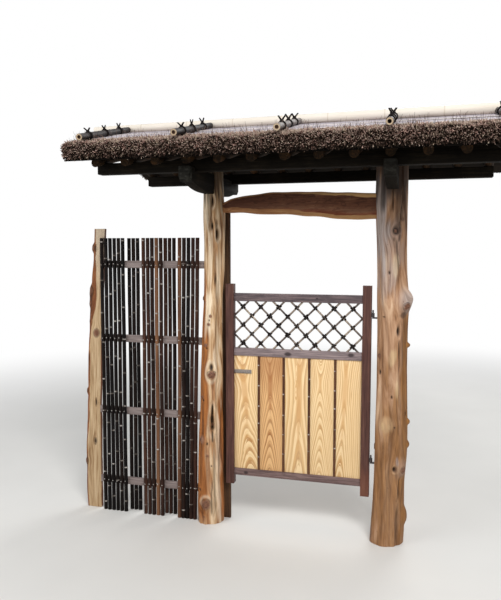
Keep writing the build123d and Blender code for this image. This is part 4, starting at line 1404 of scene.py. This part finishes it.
def culm(length, radii, first, spacing, seed, sides=12, wall=None, ridge=0.07, bore=0.03, budSide=None):
    # an upright bamboo from its start to its end radius, with its node rings and bud scars painted
    levels, nodes = nodeLevels(length, first, spacing, seed)
    ringed, rings = ringedRadii(*radii, levels, nodes, length, ridge)
    rod = turnedRod(sides, levels, ringed, wall, bore)
    points = readPoints(rod)
    away = np.hypot(points[:, 0], points[:, 1])
    outside = away > np.interp(points[:, 2], levels, ringed) * 0.93
    flush = (points[:, 2] < 1e-6) | (points[:, 2] > length - 1e-6)
    paint(rod, "ring", 0.8 * np.interp(points[:, 2], levels, rings) * outside)
    paint(rod, "cutEnd", flush * (np.where(outside, 0.5, 1.0) if wall else 0.25))
    paint(rod, "bore", (~outside & ~flush & bool(wall)) * 1.0)
    buds = np.zeros(len(points))
    if budSide is not None:
        buds = budScars(points, nodes, budSide, radii[1], seed + 900) * outside
    paint(rod, "bud", buds)
    return rod


def tone(rod, value):
    paint(rod, "tone", np.full(len(rod.data.vertices), value))


canes = {
    "height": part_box("front_canes_1")[1].z,
    "radii": (0.0116, 0.0128), "railFace": 0.0100, "pitch": 0.0286, "postX": -1.05, "nodeSpacing": 0.21,
    "sway": 0.0016,
    # node, first head left of the post, count, lean of the first and last foot, side, how light each is
    "groups": [
        ("front_canes_1", 0.717, 6, (0.004, 0.004), -1, [0.16, 0.08, 0.02, 0.10, 0.15, 0.06]),
        ("front_canes_2", 0.436, 5, (0.006, 0.006), -1, [0.44, 0.40, 0.30, 0.78, 0.34]),
        ("front_canes_3", 0.199, 5, (0.016, 0.029), -1, [0.72, 0.26, 0.14, 0.38, 0.42]),
        ("back_canes_1", 0.552, 3, (0.005, 0.005), 1, [0.12, 0.20, 0.10]),
        ("back_canes_2", 0.310, 3, (0.008, 0.008), 1, [0.46, 0.40, 0.24]),
    ],
}


def caneLine(start, count, leans, k, up):
    # where cane k of a group stands along the gate, at this share of its height
    lean = leans[0] + (leans[1] - leans[0]) * k / (count - 1)
    return canes["postX"] - start + k * canes["pitch"] - lean * (1 - up)


def caneGroup(name, start, count, leans, side, tones):
    rods = []
    for k in range(count):
        seed = 100 + 10 * count + k + int(start * 1000)
        first = 0.05 + 0.17 * ((k * 0.618 + start * 7) % 1)
        radius = np.random.default_rng(seed).uniform(*canes["radii"])
        rod = culm(canes["height"], (radius, radius * 0.95), first, canes["nodeSpacing"], seed, 14,
                   budSide=90 * side)
        points = readPoints(rod)
        up = points[:, 2] / canes["height"]
        sway = canes["sway"] * np.sin(up * 9 + seed) * up * (1 - up) * 4
        points[:, 0] += caneLine(start, count, leans, k, up) + sway
        points[:, 1] += side * (canes["railFace"] + radius * 0.98)
        writePoints(rod, points)
        tone(rod, tones[k])
        rods.append(rod)
    piece = joinPieces(name, rods)
    short = name.replace("_", "") + "Culms"
    finishPiece(piece, short, "frame", finishes["darkCulm"], [name], 50)


for group in canes["groups"]:
    caneGroup(*group)
print("canes done")

nails = {"radius": 0.0032, "levels": [0.196, 0.648, 1.110, 1.571], "shift": 0.004}


def nailHeads():
    startClean()
    bpy.ops.mesh.primitive_uv_sphere_add(segments=8, ring_count=5, radius=nails["radius"])
    pattern, faces = patternOf(bpy.context.object)
    pattern = pattern * (1, 0.5, 1)
    dice = np.random.default_rng(51)
    depth = canes["railFace"] + 1.97 * canes["radii"][1]
    places = []
    for _, start, count, leans, side, _ in canes["groups"]:
        for k in range(count):
            for height in nails["levels"]:
                x = caneLine(start, count, leans, k, height / canes["height"])
                wander = dice.uniform(-nails["shift"], nails["shift"])
                places.append((x, side * depth, height + wander))
    copies = np.array(places)[:, None, :] + pattern[None]
    piece = joinedCopies("fenceNails", copies, faces)
    finishPiece(piece, "fenceNails", "frame", finishes["nail"])


nailHeads()

roof = {
    "ridge": 2.372, "slope": 0.242, "left": -1.575, "right": 0.525, "bay": 0.175, "count": 13,
    "thatchEnd": 0.137, "coverEnd": 0.090,
}
roofAngle = math.atan(roof["slope"])


def onSlope(x, down, lift, side):
    # down is measured on the slope from the ridge line, lift square to it; side is -1 in front
    outward = down * math.cos(roofAngle) + lift * math.sin(roofAngle)
    upward = roof["ridge"] - down * math.sin(roofAngle) + lift * math.cos(roofAngle)
    return np.stack(np.broadcast_arrays(x, side * outward, upward), -1)


ridgeBamboo = {
    "radii": (0.022, 0.029), "overhang": 0.094, "gap": 0.0003, "wall": 0.005, "firstNode": 0.055,
    "nodeSpacing": 0.27, "sides": 36, "ridge": 0.018, "bore": 0.05,
}


def poleLine():
    # where the ridge pole starts, and its length
    start = roof["left"] - roof["thatchEnd"] - ridgeBamboo["overhang"]
    return start, roof["right"] + roof["thatchEnd"] + ridgeBamboo["overhang"] - start


def poleRadius(x):
    start, length = poleLine()
    thin, thick = ridgeBamboo["radii"]
    return thin + (thick - thin) * (x - start) / length


def ridgePole():
    pole = ridgeBamboo
    start, length = poleLine()
    rod = culm(length, pole["radii"], pole["firstNode"], pole["nodeSpacing"], 61, pole["sides"],
               pole["wall"], pole["ridge"], pole["bore"])
    points = readPoints(rod)
    x = start + points[:, 2]
    centre = roof["ridge"] + poleRadius(x) / math.cos(roofAngle) + pole["gap"]
    writePoints(rod, np.stack([x, points[:, 0], centre + points[:, 1]], 1))
    tone(rod, 0.5)
    finishPiece(rod, "ridgeBamboo", "frame", finishes["paleCulm"], ["ridge_pole"], 50)


holdDown = {
    "radius": 0.0175, "reach": 0.600, "places": [0, 3, 6, 9, 12], "seat": 1.04, "gap": 0.0006, "short": 0.006,
    # of each culm: how thin its head is, its first node, and how much further down that is with each bay
    "taper": 0.97, "firstNode": (0.08, 0.012), "nodeSpacing": 0.19, "sides": 20, "wall": 0.0074,
    "ridge": 0.05, "tones": [0.25, 0.15, 0.62, 0.40, 0.20], "bores": [0.012, 0.008, 0.008, 0.050, 0.020],
    # of the ties: places down the slope, and heights from where the ends stand up and spread
    "tieDown": [0.50, 0.33, 0.15], "twine": 0.0030, "turns": 3, "ear": 0.027, "knot": 0.0092,
    "twineTop": 0.021, "earFoot": 0.026, "earBend": 0.040,
}


def holdDownRow(side, name, node):
    rods = []
    size = holdDown["radius"]
    firstNode, shift = holdDown["firstNode"]
    for number, k in enumerate(holdDown["places"]):
        x = roof["left"] + k * roof["bay"]
        head = poleRadius(x) * (1 - roof["slope"]) + holdDown["gap"]
        length = holdDown["reach"] / math.cos(roofAngle) - head - holdDown["short"]
        radii = (size * holdDown["taper"], size)
        rod = culm(length, radii, firstNode + shift * k, holdDown["nodeSpacing"], 70 + k,
                   holdDown["sides"], holdDown["wall"], holdDown["ridge"], holdDown["bores"][number])
        points = readPoints(rod)
        lift = size * holdDown["seat"] + points[:, 1]
        writePoints(rod, onSlope(x - side * points[:, 0], head + points[:, 2], lift, side))
        tone(rod, holdDown["tones"][number])
        rods.append(rod)
    piece = joinPieces(name, rods)
    finishPiece(piece, name, "frame", finishes["greyCulm"], [node], 50)


def tiePattern():
    # three turns of twine, a knot on top and two standing ends
    twine, ear = holdDown["twine"], holdDown["ear"]
    size = holdDown["radius"] + twine * 0.7
    parts = []
    for k in range(holdDown["turns"]):
        startClean()
        bpy.ops.mesh.primitive_torus_add(
            major_radius=size, minor_radius=twine, major_segments=18, minor_segments=6,
            location=(0, 0, (k - 1) * twine * 1.9), rotation=(0.05 * (k - 1), 0.04, 0))
        parts.append(bpy.context.object)
    bpy.ops.mesh.primitive_uv_sphere_add(
        segments=10, ring_count=6, radius=holdDown["knot"], location=(0, size + 0.001, 0))
    parts.append(bpy.context.object)
    parts[-1].scale = (1.3, 0.8, 1.1)
    for lean in (-0.42, 0.36):
        place = (math.sin(-lean) * ear / 2, size + 0.003 + ear / 2 * math.cos(lean), 0)
        bpy.ops.mesh.primitive_cone_add(
            vertices=6, radius1=twine * 1.8, radius2=0.0028, depth=ear, location=place,
            rotation=(-math.pi / 2, 0, lean))
        parts.append(bpy.context.object)
    piece = joinPieces("tiePattern", parts)
    bakePlace()
    return patternOf(piece)


def bentTie(pattern, dice):
    # leans to one side, with ends that spread and stand up unlike those of the next tie
    up = pattern[:, 1]
    lean = dice.uniform(-0.12, 0.12)
    spread = dice.uniform(0.4, 1.8)
    x = pattern[:, 0] + lean * (up - holdDown["radius"]) * (up > holdDown["radius"])
    widened = x * (1 + (spread - 1) * smoothStep(up, holdDown["earFoot"], holdDown["earBend"]))
    x = np.where(up > holdDown["earFoot"], widened, x)
    stand = dice.uniform(0.75, 1.1)
    top = holdDown["twineTop"]
    return x, np.where(up > top, top + (up - top) * stand, up)


def holdDownTies(side, name):
    pattern, faces = tiePattern()
    dice = np.random.default_rng(80 + side)
    copies = []
    for k in holdDown["places"]:
        place = roof["left"] + k * roof["bay"]
        for down in holdDown["tieDown"]:
            at = down + dice.uniform(-0.012, 0.012)
            x, up = bentTie(pattern, dice)
            lift = holdDown["radius"] * holdDown["seat"] + up
            copies.append(onSlope(place - side * x, at + pattern[:, 2], lift, side))
    piece = joinedCopies(name, np.array(copies), faces)
    finishPiece(piece, name, "frame", finishes["twine"])


ridgePole()
for side, word in ((-1, "front"), (1, "rear")):
    holdDownRow(side, word + "HoldDowns", word + "_hold_downs")
    holdDownTies(side, word + "HoldDownTies")
print("ridge pole and hold-downs done")


# Round rafters with planed tops

rafter = {"radius": 0.026, "flat": 0.003, "reach": 0.430, "sides": 20, "rings": 12, "top": 2.265}


def rafterRow(side, name, node):
    logs = []
    plumb = 1 / math.cos(roofAngle)
    axis = rafter["top"] - (rafter["radius"] - rafter["flat"]) * plumb
    levels = np.linspace(0.002, rafter["reach"], rafter["rings"] + 1)
    for k in range(roof["count"]):
        rod = turnedRod(rafter["sides"], levels, np.ones(len(levels)))
        points = readPoints(rod)
        turn = np.arctan2(points[:, 1], points[:, 0])
        radius = rafter["radius"] * (0.97 + 0.03 * waves(turn * 1.5, points[:, 2] * 9 + k, 90 + k))
        upright = np.minimum(radius * np.sin(turn), rafter["radius"] - rafter["flat"])
        x = roof["left"] + k * roof["bay"] - side * radius * np.cos(turn)
        y = side * points[:, 2]
        z = axis - roof["slope"] * points[:, 2] + upright * plumb
        writePoints(rod, np.stack([x, y, z], 1))
        logs.append(rod)
    piece = joinPieces(name, logs)
    finishPiece(piece, name, "frame", finishes["rafter"], [node], 50)


rafterRow(-1, "frontRafterLogs", "front_rafters")
rafterRow(1, "rearRafterLogs", "rear_rafters")
print("rafters done")


# Thatch of fine twigs

thatch = {
    "voxel": 0.013, "drawIn": 0.008, "lumps": 0.005,
    "eaveTwigs": 20000, "gableTwigs": 9000, "browTwigs": 420,
    "length": (0.011, 0.021), "thickness": (0.0014, 0.0028), "sink": 0.003, "clump": 0.012,
    # where cover, boards, eave twigs and gable twigs begin or end, from the ridge outwards
    "coverEdge": 0.452, "boardEdge": 0.548, "eaveFrom": 0.30, "gableTo": 0.52, "endStrip": 0.02,
    # sprigs: clear of the gables, from and to down the slope, below the cover, length and thickness
    "sprigClear": 0.03, "sprigDown": (0.475, 0.53), "sprigSink": 0.012, "sprigLength": (0.024, 0.050),
    "sprigThickness": 0.0008,
}


def thatchBed():
    halves = [solidCopy(node, node + "Copy") for node in ("front_thatch", "rear_thatch")]
    bed = joinPieces("thatchBed", halves)
    closeSeams(bed)
    useModifier(bed, 'REMESH', mode='VOXEL', voxel_size=thatch["voxel"])
    useModifier(bed, 'SMOOTH', factor=0.5, iterations=3)
    points = readPoints(bed)
    normals = np.empty(len(points) * 3)
    bed.data.vertices.foreach_get("normal", normals)
    normals = normals.reshape(-1, 3)
    rough = thatch["lumps"] * waves(points[:, 0] * 60, points[:, 1] * 60 + points[:, 2] * 80, 111)
    hidden = (normals[:, 2] < -0.6) & (np.abs(points[:, 1]) < thatch["boardEdge"])
    points += normals * np.where(hidden, 0, rough - thatch["drawIn"])[:, None]
    writePoints(bed, points)
    nodes = ["front_thatch", "rear_thatch"]
    finishPiece(bed, "thatchBed", "frame", finishes["bed"], nodes, 180)
    return bed


def bedFaces(bed):
    count = len(bed.data.polygons)
    centres, normals, areas = np.empty(count * 3), np.empty(count * 3), np.empty(count)
    bed.data.polygons.foreach_get("center", centres)
    bed.data.polygons.foreach_get("normal", normals)
    bed.data.polygons.foreach_get("area", areas)
    return centres.reshape(-1, 3), normals.reshape(-1, 3), areas


def unit(vectors):
    return vectors / np.maximum(np.linalg.norm(vectors, axis=1, keepdims=True), 1e-9)


def clumps(points, seed):
    # variation over the size of one tuft
    size = 2 * math.pi / thatch["clump"] / 1.05
    return waves(points[:, 0] * size, (points[:, 1] + 0.7 * points[:, 2]) * size, seed, 14)


def twigs(name, bed, wanted, count, seed):
    # twigs stand out of the bed's faces in tufts, leaning to the nearest eave
    dice = np.random.default_rng(seed)
    centres, normals, areas = bedFaces(bed)
    weight = areas * wanted(centres, normals)
    picked = dice.choice(len(areas), count, p=weight / weight.sum())
    middle, normal = centres[picked], normals[picked]
    loose = dice.uniform(-0.5, 0.5, (count, 3)) * thatch["voxel"]
    base = middle + loose - normal * (loose * normal).sum(1, keepdims=True)
    side = np.sign(middle[:, 1])
    nearEave = smoothStep(np.abs(middle[:, 1]), 0.36, 0.5) * (np.abs(normal[:, 0]) < 0.7)
    lip = smoothStep(np.abs(middle[:, 1]), 0.53, 0.57) * smoothStep(-normal[:, 2], 0.0, 0.6)
    outward = np.stack([0 * side, side, -0.2 + 0 * side], 1) * nearEave[:, None]
    hanging = np.stack([0 * side, 0.25 * side, -1 + 0 * side], 1) * lip[:, None]
    tuft = np.stack([clumps(base, seed + k) for k in (1, 2, 3)], 1)
    aim = unit(normal * 0.75 + outward * 0.6 + hanging * 0.9 + tuft * 0.40 + dice.normal(0, 0.42, (count, 3)))
    across = unit(np.cross(aim, dice.normal(0, 1, (count, 3))))
    other = np.cross(aim, across)
    length = dice.uniform(*thatch["length"], count) * (1 + 0.35 * clumps(base, seed + 4))
    thick = dice.uniform(*thatch["thickness"], count)
    base = base - aim * thatch["sink"]
    # painted light: tops that face up are pinkish and pale, undersides are dark painted shade, with pale cut
    # ends here and there
    tones = 0.51 + 0.41 * normal[:, 2] + 0.20 * clumps(base, seed + 5) + dice.normal(0, 0.17, count)
    tones = np.where(dice.uniform(0, 1, count) < 0.05, 0.98, tones)
    placeTwigs(name, base, aim, across, other, length, thick, tones)


def placeTwigs(name, base, aim, across, other, length, thick, tones):
    startClean()
    bpy.ops.mesh.primitive_cone_add(vertices=3, radius1=1, radius2=0.72, depth=1, location=(0, 0, 0.5))
    bakePlace()
    pattern, faces = patternOf(bpy.context.object)
    copies = base[:, None, :] + (
        pattern[None, :, 0, None] * (thick[:, None] * across)[:, None, :]
        + pattern[None, :, 1, None] * (thick[:, None] * other)[:, None, :]
        + pattern[None, :, 2, None] * (length[:, None] * aim)[:, None, :])
    piece = joinedCopies(name, copies, faces)
    tips = pattern[:, 2] > 0.5
    # the bases of the twigs are darker: painted shade inside the thatch
    values = np.clip(tones, 0.02, 1)[:, None] * np.where(tips, 1.0, 0.16)[None]
    paint(piece, "tone", values.ravel())
    finishPiece(piece, name, "frame", finishes["twigs"], angle=10)


def browTwigs(name, side, seed):
    # thin sprigs that stand up along the edge of the bark
    dice = np.random.default_rng(seed)
    count = thatch["browTwigs"]
    end = roof["thatchEnd"] - thatch["sprigClear"]
    x = dice.uniform(roof["left"] - end, roof["right"] + end, count)
    base = onSlope(x, dice.uniform(*thatch["sprigDown"], count), -thatch["sprigSink"], side)
    sideways = dice.normal(0, 0.35, count)
    outward = side * dice.uniform(-0.1, 0.5, count)
    aim = unit(np.stack([sideways, outward, np.ones(count)], 1))
    across = unit(np.cross(aim, dice.normal(0, 1, (count, 3))))
    length = dice.uniform(*thatch["sprigLength"], count) * dice.choice([0.7, 1.0, 1.25], count)
    thick = np.full(count, thatch["sprigThickness"])
    tones = dice.uniform(0.3, 0.7, count)
    placeTwigs(name, base, aim, across, np.cross(aim, across), length, thick, tones)


def onEave(side):
    def wanted(centres, normals):
        y = centres[:, 1] * side
        covered = (normals[:, 2] > 0.75) & (y < thatch["coverEdge"])
        boarded = (normals[:, 2] < -0.6) & (y < thatch["boardEdge"])
        gable = (np.abs(normals[:, 0]) > 0.7) & (y < thatch["coverEdge"])
        return (y > thatch["eaveFrom"]) & ~covered & ~boarded & ~gable
    return wanted


def onGables(centres, normals):
    y = np.abs(centres[:, 1])
    ends = (np.abs(normals[:, 0]) > 0.45) & (y < thatch["gableTo"])
    cover = roof["coverEnd"] - thatch["endStrip"]
    beside = (centres[:, 0] < roof["left"] - cover) | (centres[:, 0] > roof["right"] + cover)
    top = (normals[:, 2] > 0.5) & beside & (y < thatch["coverEdge"])
    return ends | top


bed = thatchBed()
twigs("frontTwigs", bed, onEave(-1), thatch["eaveTwigs"], 121)
twigs("rearTwigs", bed, onEave(1), thatch["eaveTwigs"], 122)
twigs("gableTwigs", bed, onGables, thatch["gableTwigs"], 123)
browTwigs("frontSprigs", -1, 124)
browTwigs("rearSprigs", 1, 125)
print("thatch done")


# Sheets of bark over the ridge

barkSheets = {
    "cells": (70, 14), "thickness": 0.0028, "ragged": 0.007, "lap": 0.03,
    # from and to down the slope, lift of the sheet's top below the cover line, sheets along the ridge
    "courses": [(0.210, 0.478, -0.0036, 4), (0.002, 0.250, -0.0004, 3)],
}


def barkSheet(x0, x1, upper, lower, lift, side, seed):
    startClean()
    columns, rows = barkSheets["cells"]
    bpy.ops.mesh.primitive_grid_add(
        x_subdivisions=columns, y_subdivisions=rows, size=1, location=(0.5, 0.5, 0))
    sheet = bpy.context.object
    bakePlace()
    points = readPoints(sheet)
    u, v = points[:, 0], points[:, 1]
    ragged = barkSheets["ragged"]
    x = x0 + (x1 - x0) * u + ragged * waves(v * 9, u * 0, seed) * (2 * u - 1)
    down = upper + (lower - upper) * v + ragged * waves(u * 16, 0 * v, seed + 1) * smoothStep(v, 0.7, 1)
    rise = lift + 0.0009 * waves(u * 10, v * 6, seed + 2) - 0.0009
    points = onSlope(x, down, rise, side)
    writePoints(sheet, points)
    # where the painted highlight along the sheet's lower edge lies
    paint(sheet, "edge", smoothStep(v, 0.82, 0.98))
    useModifier(sheet, 'SOLIDIFY', thickness=barkSheets["thickness"], offset=1.0 if side > 0 else -1.0)
    return sheet


def barkCover(side, name, node):
    left = roof["left"] - roof["coverEnd"]
    right = roof["right"] + roof["coverEnd"]
    sheets = []
    for course, (upper, lower, lift, count) in enumerate(barkSheets["courses"]):
        step = (right - left) / count
        for k in range(count):
            seed = 200 + 40 * course + 5 * k + (2 + side)
            x1 = left + (k + 1) * step + (barkSheets["lap"] if k < count - 1 else 0)
            sheets.append(barkSheet(left + k * step, x1, upper, lower, lift - 0.0012 * (k % 2), side, seed))
    piece = joinPieces(name, sheets)
    faceOutwards(piece)
    finishPiece(piece, name, "frame", finishes["barkSheet"], [node], 50)


barkCover(-1, "frontBarkSheets", "front_bark_cover")
barkCover(1, "rearBarkSheets", "rear_bark_cover")
print("bark cover done")


# Door: strips over the board joints, and the lattice with its tied crossings

door = {
    "panelLeft": -0.919, "panelRight": -0.159, "boards": 5, "boardFace": 0.018, "stripRadius": 0.0075,
    "stripFoot": 0.337, "stripHead": 1.030,
    "windowFoot": 1.076, "windowHead": 1.357, "columns": 14, "barRadius": 0.0060, "sunk": 0.004,
    # depth behind the leaf's face and how light the bars are, of the front and the back layer
    "frontLayer": 0.0180, "backLayer": 0.0285, "frontTones": (0.42, 0.90), "backTones": (0.66, 1.0),
}
lattice = {
    "halfPitch": (door["panelRight"] - door["panelLeft"]) / door["columns"],
    "middle": (door["windowFoot"] + door["windowHead"]) / 2,
    "numbers": range(-3, door["columns"] + 4, 2),
}
crossTie = {
    "twine": 0.0013, "coils": (-0.0141, -0.0115, -0.0088, 0.0088, 0.0115, 0.0141), "coilGap": 0.0002,
    "loop": 0.0102, "loopShift": 0.0017, "knot": 0.0036, "front": 0.0116, "end": 0.014,
    "endRadii": (0.0015, 0.0008), "endLeans": (-0.7, 0.5),
}


def jointStrips():
    rods = []
    width = (door["panelRight"] - door["panelLeft"]) / door["boards"]
    length = door["stripHead"] - door["stripFoot"]
    radii = (door["stripRadius"], door["stripRadius"])
    for k in range(1, door["boards"]):
        rod = culm(length, radii, 0.05 + 0.03 * k, 0.11, 300 + k, 14, None, 0.08, budSide=-90)
        points = readPoints(rod)
        points[:, 0] += door["panelLeft"] + k * width
        points[:, 1] = np.minimum(points[:, 1] + door["boardFace"], door["boardFace"])
        points[:, 2] += door["stripFoot"]
        writePoints(rod, points)
        tone(rod, 0.66)
        rods.append(rod)
    piece = joinPieces("jointStrips", rods)
    finishPiece(piece, "jointStrips", "door", finishes["darkCulm"], ["board_strips"], 50)


def latticeEnds(start, slope):
    # where a diagonal through (start, mid height) leaves the window; slope is 1 or -1
    half = (door["windowHead"] - door["windowFoot"]) / 2
    low, high = max(start - half, door["panelLeft"]), min(start + half, door["panelRight"])
    if high - low < 0.02:
        return None
    middle = lattice["middle"]
    return np.array([(low, middle + slope * (low - start)), (high, middle + slope * (high - start))])


def latticeBar(ends, layer, tones, k):
    # one bar along its diagonal, sunk into the frame at both ends, with painted shade at the crossings
    along = (ends[1] - ends[0]) / np.linalg.norm(ends[1] - ends[0])
    ends = ends + np.array([-along, along]) * door["sunk"]
    length = np.linalg.norm(ends[1] - ends[0])
    radii = (door["barRadius"], door["barRadius"] * 0.95)
    rod = culm(length, radii, 0.03 + 0.02 * (k % 4), 0.12, 320 + k, 8, None, 0.08)
    points = readPoints(rod)
    x = ends[0][0] + along[0] * points[:, 2] + along[1] * points[:, 0]
    z = ends[0][1] + along[1] * points[:, 2] - along[0] * points[:, 0]
    y = layer + points[:, 1]
    sway = 0.5 + 0.5 * waves(points[:, 2] * 40, 0 * x + k, 340 + k)
    light = tones[0] + (tones[1] - tones[0]) * sway
    # painted shade near each crossing
    steps = (x - door["panelLeft"]) / lattice["halfPitch"]
    away = np.abs((steps + 0.5) % 1 - 0.5) * lattice["halfPitch"] * math.sqrt(2)
    paint(rod, "tone", light - 0.50 * (1 - smoothStep(away, 0.014, 0.032)))
    writePoints(rod, np.stack([x, y, z], 1))
    return rod


def latticeBars():
    rods = []
    layers = ((door["frontLayer"], -1, door["frontTones"]), (door["backLayer"], 1, door["backTones"]))
    for layer, slope, tones in layers:
        for k, number in enumerate(lattice["numbers"]):
            ends = latticeEnds(door["panelLeft"] + number * lattice["halfPitch"], slope)
            if ends is not None:
                rods.append(latticeBar(ends, layer, tones, k))
    piece = joinPieces("latticeBars", rods)
    faceOutwards(piece)
    finishPiece(piece, "latticeBars", "door", finishes["latticeCulm"], ["lattice"], 50)


def crossings():
    found = []
    for k in lattice["numbers"]:
        for j in lattice["numbers"]:
            x = door["panelLeft"] + (k + j) / 2 * lattice["halfPitch"]
            z = lattice["middle"] + (k - j) / 2 * lattice["halfPitch"]
            insideX = door["panelLeft"] + 0.01 < x < door["panelRight"] - 0.01
            insideZ = door["windowFoot"] + 0.012 < z < door["windowHead"] - 0.012
            if insideX and insideZ:
                found.append((x, z))
    return found


def addRing(size, segments, sides, place, turn):
    startClean()
    bpy.ops.mesh.primitive_torus_add(
        major_radius=size, minor_radius=crossTie["twine"], major_segments=segments, minor_segments=sides,
        location=place, rotation=(0, turn, 0))
    return bpy.context.object


def crossingPattern(between):
    # twine coils on all four arms, loops across the crossing and a small knot in front
    parts = []
    for layer, lean in ((door["frontLayer"], -math.pi / 4), (door["backLayer"], math.pi / 4)):
        for along in crossTie["coils"]:
            place = (math.sin(lean) * along, layer - between, math.cos(lean) * along)
            parts.append(addRing(door["barRadius"] + crossTie["coilGap"], 10, 4, place, lean))
    for turn in (0.0, math.pi / 2):
        for shift in (-crossTie["loopShift"], crossTie["loopShift"]):
            place = (shift if turn else 0, 0, 0 if turn else shift)
            parts.append(addRing(crossTie["loop"], 14, 4, place, turn))
    bpy.ops.mesh.primitive_uv_sphere_add(
        segments=8, ring_count=5, radius=crossTie["knot"], location=(0, -crossTie["front"], 0))
    parts.append(bpy.context.object)
    thick, thin = crossTie["endRadii"]
    for lean in crossTie["endLeans"]:
        bpy.ops.mesh.primitive_cone_add(
            vertices=5, radius1=thick, radius2=thin, depth=crossTie["end"],
            location=(0.006 * math.sin(lean), -crossTie["front"], 0.007), rotation=(0, lean, 0))
        parts.append(bpy.context.object)
    joined = joinPieces("crossingPattern", parts)
    bakePlace()
    return patternOf(joined)


def crossingTies():
    between = (door["frontLayer"] + door["backLayer"]) / 2
    pattern, faces = crossingPattern(between)
    dice = np.random.default_rng(360)
    copies = []
    for x, z in crossings():
        turn = dice.uniform(-0.3, 0.3)
        size = dice.uniform(0.9, 1.15)
        px = (pattern[:, 0] * math.cos(turn) - pattern[:, 2] * math.sin(turn)) * size
        pz = (pattern[:, 0] * math.sin(turn) + pattern[:, 2] * math.cos(turn)) * size
        copies.append(np.stack([x + px, between + pattern[:, 1], z + pz], 1))
    piece = joinedCopies("latticeTies", np.array(copies), faces)
    finishPiece(piece, "latticeTies", "door", finishes["twine"])


jointStrips()
latticeBars()
crossingTies()
print("door strips and lattice done")
